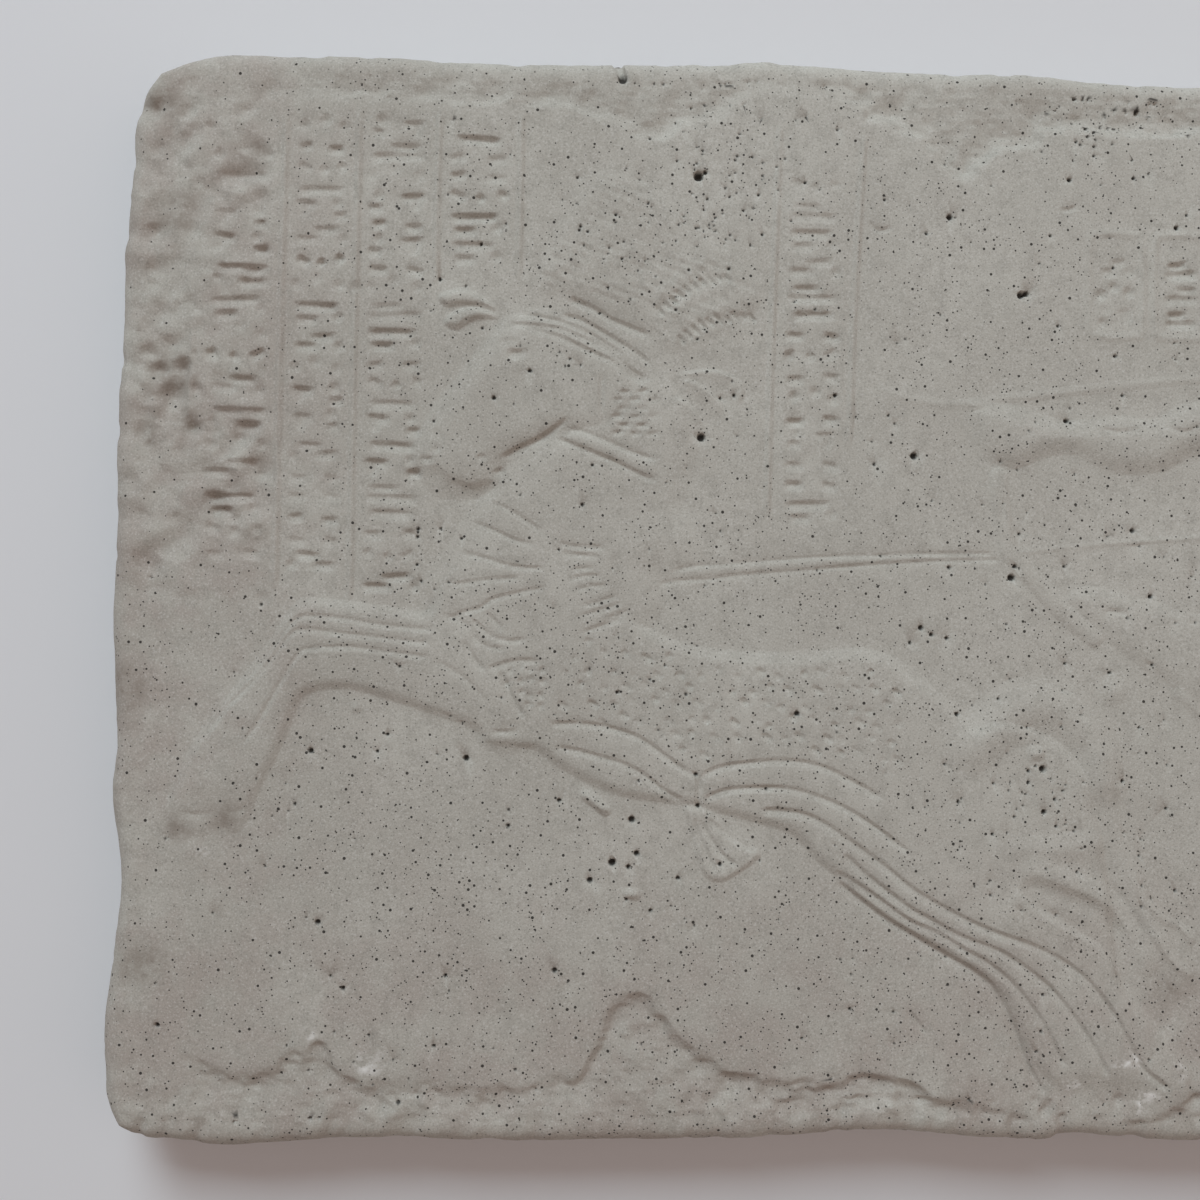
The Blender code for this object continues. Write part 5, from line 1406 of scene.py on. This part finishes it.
def concrete():
    """Warm grey cast concrete: cloudy, with painted shade that makes it faintly pink and darker towards its
    left and lower edges and painted light that makes its right side paler, with sand grains, pale specks,
    plaster dust, brown stains that are partly painted shade in the chipped hollows, and air-bubble holes
    painted dark with their shade."""
    material = bpy.data.materials.new("cast_concrete")
    material.use_nodes = True
    nodes = Nodes(material)
    shader = material.node_tree.nodes["Principled BSDF"]

    clouds = nodes.noise(26.0, detail=2.0, roughness=0.6)
    patches = nodes.noise(9.0, detail=3.0, roughness=0.65, shift=0.3)
    mottle = nodes.noise(2.4, detail=3.0, roughness=0.7, shift=0.1)
    broken = nodes.between(mottle, 0.3, 0.7, 0.2, 0.6)
    pale = nodes.math("MULTIPLY", nodes.between(clouds, 0.36, 0.66), broken)
    colour = nodes.blend(pale, CONCRETE, CONCRETE_LIGHT)

    place = nodes.feed(nodes.node("ShaderNodeSeparateXYZ"), i0=nodes.object)
    x, _, z = place.outputs
    wide = WIDTH * MM
    high = HEIGHT * MM
    # Painted light: paler towards the right side, for the light that is brighter there
    painted_light_right = nodes.between(x, -0.34 * wide, 0.05 * wide, 0.0, 0.34)
    colour = nodes.blend(painted_light_right, colour, CONCRETE_LIGHT)
    # Painted shade: warmer and darker towards the left and lower edges, broken up by patches
    from_left = nodes.between(x, -0.5 * wide, -0.30 * wide, 1.0, 0.0)
    from_low = nodes.between(z, -0.5 * high, -0.10 * high, 0.9, 0.0)
    near_edge = nodes.between(nodes.math("MAXIMUM", from_left, from_low), 0.0, 1.0, 0.10, 0.75)
    painted_edge_shade = nodes.math("MULTIPLY", near_edge, nodes.between(patches, 0.36, 0.66, 0.15, 1.0))
    colour = nodes.blend(painted_edge_shade, colour, CONCRETE_WARM_SHADE)
    colour = nodes.blend(nodes.between(mottle, 0.52, 0.36, 0.0, 0.22), colour, CONCRETE_DARK)

    sand = nodes.noise(0.27, detail=1.0, shift=0.2)
    colour = nodes.blend(nodes.between(sand, 0.54, 0.72, 0.0, 0.32), colour, GRAIN_DARK)
    colour = nodes.blend(nodes.between(sand, 0.44, 0.28, 0.0, 0.26), colour, SPECK_WHITE)

    from_high = nodes.between(z, -0.05 * high, 0.1 * high)
    top_left = nodes.math("MULTIPLY", from_left, from_high)
    crowd = nodes.between(patches, 0.36, 0.58, 0.4, 1.0)
    for edge, share in ((from_high, CROWD_HIGH), (from_left, CROWD_LEFT), (top_left, CROWD_TOP_LEFT)):
        crowd = nodes.math("MULTIPLY", crowd, nodes.between(edge, 0.0, 1.0, 1.0, share))
    small = tiny_pores(nodes, crowd, *SMALL_PORES)
    fine = tiny_pores(nodes, crowd, *FINE_PORES)
    tiny_hole_shade = nodes.math("MAXIMUM", small, fine)
    marks = [nodes.node("ShaderNodeAttribute", attribute_name=name) for name in ("pore", "dust", "stain_and_shade")]
    sunk, dust, stain_and_shade = (mark.outputs["Fac"] for mark in marks)
    # Brown stains, which over the chipped hollows are partly painted shade
    stain_and_shade_share = nodes.math("MULTIPLY", stain_and_shade, nodes.between(mottle, 0.36, 0.62, 0.08, 0.62))
    colour = nodes.blend(stain_and_shade_share, colour, STAIN_AND_SHADE)
    dusted = nodes.math("MULTIPLY", dust, nodes.between(mottle, 0.40, 0.62))
    colour = nodes.blend(dusted, colour, SPECK_WHITE)
    # Painted shade: the holes, both the modelled ones and those too small to model, are coloured near-black
    # for the shade inside them
    holes = nodes.math("MULTIPLY", nodes.math("MAXIMUM", tiny_hole_shade, sunk), HOLE_SHADE_STRENGTH)
    nodes.set(shader.inputs["Base Color"], nodes.blend(holes, colour, PORE_SHADE))
    shader.inputs["Roughness"].default_value = ROUGHNESS
    shader.inputs["Specular IOR Level"].default_value = SPECULAR

    grain = nodes.noise(0.5, detail=2.0, roughness=0.8, shift=0.9)
    bump = nodes.node("ShaderNodeBump")
    nodes.feed(bump, Strength=BUMP_STRENGTH, Distance=BUMP_DEPTH * MM, Height=grain)
    nodes.feed(shader, Normal=bump.outputs[0])
    return material


def pale_wall():
    """A matt material for the wall, which can be seen through from behind."""
    material = bpy.data.materials.new("pale_wall")
    material.use_nodes = True
    tree = material.node_tree
    shader = tree.nodes["Principled BSDF"]
    shader.inputs["Base Color"].default_value = (*BACKDROP, 1.0)
    shader.inputs["Roughness"].default_value = BACKDROP_ROUGHNESS
    clear = tree.nodes.new("ShaderNodeBsdfTransparent")
    geometry = tree.nodes.new("ShaderNodeNewGeometry")
    choice = tree.nodes.new("ShaderNodeMixShader")
    tree.links.new(geometry.outputs["Backfacing"], choice.inputs[0])
    tree.links.new(shader.outputs[0], choice.inputs[1])
    tree.links.new(clear.outputs[0], choice.inputs[2])
    tree.links.new(choice.outputs[0], tree.nodes["Material Output"].inputs["Surface"])
    return material


def make_plaque():
    columns = round((DRAWING_WIDTH - 2 * RIM_RADIUS / UNIT) / CELL)
    rows = round((DRAWING_HEIGHT - 2 * RIM_RADIUS / UNIT) / CELL)
    pores = pore_places()
    face = carved_face(columns, rows, pores)
    bpy.ops.mesh.primitive_grid_add(
        x_subdivisions=columns + 2 * RINGS, y_subdivisions=rows + 2 * RINGS, size=1.0
    )
    sheet = bpy.context.active_object
    shape_sheet(sheet.data, columns, rows, face)

    thin = sheet.modifiers.new("fewer_faces", "DECIMATE")
    thin.ratio = TRIANGLES / (2.0 * len(sheet.data.polygons))
    thin.use_collapse_triangulate = True
    depsgraph = bpy.context.evaluated_depsgraph_get()
    mesh = bpy.data.meshes.new_from_object(sheet.evaluated_get(depsgraph))
    bpy.data.objects.remove(sheet, do_unlink=True)

    close_back(mesh)
    mark_places(mesh, "pore", pores)
    mark_places(mesh, "dust", DUST)
    mark_places(mesh, "stain_and_shade", STAINS_AND_HOLLOW_SHADE, edge=1.3)
    mesh.name = "plaque_relief"
    mesh.materials.clear()
    mesh.materials.append(concrete())
    mesh.shade_smooth()
    mesh.set_sharp_from_angle(angle=math.radians(SHARP_ANGLE))
    plaque = bpy.data.objects.new("plaque_relief", mesh)
    bpy.context.scene.collection.objects.link(plaque)
    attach(plaque, "root")
    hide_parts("plaque")


def make_backdrop():
    """A pale wall behind the plaque, with an opening that the plaque hides, so that light reaches its
    back. From behind, the wall can be seen through."""
    steps = np.linspace(0.0, 1.0, OPENING_STEPS, endpoint=False)
    zeros = np.zeros_like(steps)
    across = np.concatenate([steps, zeros + 1.0, 1.0 - steps, zeros])
    up = np.concatenate([zeros, steps, zeros + 1.0, 1.0 - steps])
    x = DRAWING_LEFT + OPENING_INSET + across * (DRAWING_WIDTH - 2.0 * OPENING_INSET)
    z = DRAWING_LOW + OPENING_INSET + up * (DRAWING_HEIGHT - 2.0 * OPENING_INSET)
    rim = np.stack(to_millimetres(*plaque_outline(x, z)), axis=1) * MM
    far = rim * BACKDROP_REACH / np.linalg.norm(rim, axis=1)[:, None]
    wall = bmesh.new()
    inner = [wall.verts.new((x, BACKDROP_GAP, z)) for x, z in rim]
    outer = [wall.verts.new((x, BACKDROP_GAP, z)) for x, z in far]
    for here in range(len(inner)):
        after = (here + 1) % len(inner)
        wall.faces.new((outer[here], outer[after], inner[after], inner[here]))
    mesh = bpy.data.meshes.new("backdrop")
    wall.to_mesh(mesh)
    wall.free()
    mesh.materials.append(pale_wall())
    backdrop = bpy.data.objects.new("backdrop", mesh)
    bpy.context.scene.collection.objects.link(backdrop)


def make_light(name, place, side, watts, colour):
    light = bpy.data.lights.new(name, "AREA")
    light.size = side
    light.energy = watts
    light.color = colour
    lamp = bpy.data.objects.new(name, light)
    lamp.location = place
    lamp.rotation_euler = (-Vector(place)).to_track_quat("-Z", "Y").to_euler()
    bpy.context.scene.collection.objects.link(lamp)


def make_lights():
    make_light("key", *KEY_LIGHT)
    make_light("fill", *FILL_LIGHT)
    make_light("behind", *BACK_LIGHT)
    world = bpy.data.worlds.new("soft_sky")
    world.use_nodes = True
    background = world.node_tree.nodes["Background"]
    background.inputs["Color"].default_value = (*SKY, 1.0)
    background.inputs["Strength"].default_value = SKY_STRENGTH
    bpy.context.scene.world = world


def make_camera():
    camera = bpy.data.objects.new("camera", bpy.data.cameras.new("camera"))
    camera.data.sensor_width = SENSOR
    camera.data.lens = SENSOR * FOCAL_PIXELS / FRAME_PIXELS
    camera.data.clip_start = CLIP_START
    x, z = to_millimetres(CAMERA_PLACE[0], CAMERA_PLACE[2])
    place = Vector((x, -THICKNESS - CAMERA_PLACE[1] * UNIT, z)) * MM
    camera.matrix_world = (
        Matrix.Translation(place)
        @ Matrix.Rotation(math.radians(CAMERA_YAW), 4, "Z")
        @ Matrix.Rotation(math.radians(90.0 + CAMERA_PITCH), 4, "X")
        @ Matrix.Rotation(math.radians(-CAMERA_ROLL), 4, "Z")
    )
    bpy.context.scene.collection.objects.link(camera)
    bpy.context.scene.camera = camera


make_camera()
make_plaque()
make_backdrop()
make_lights()
bpy.context.scene.view_settings.view_transform = "Standard"
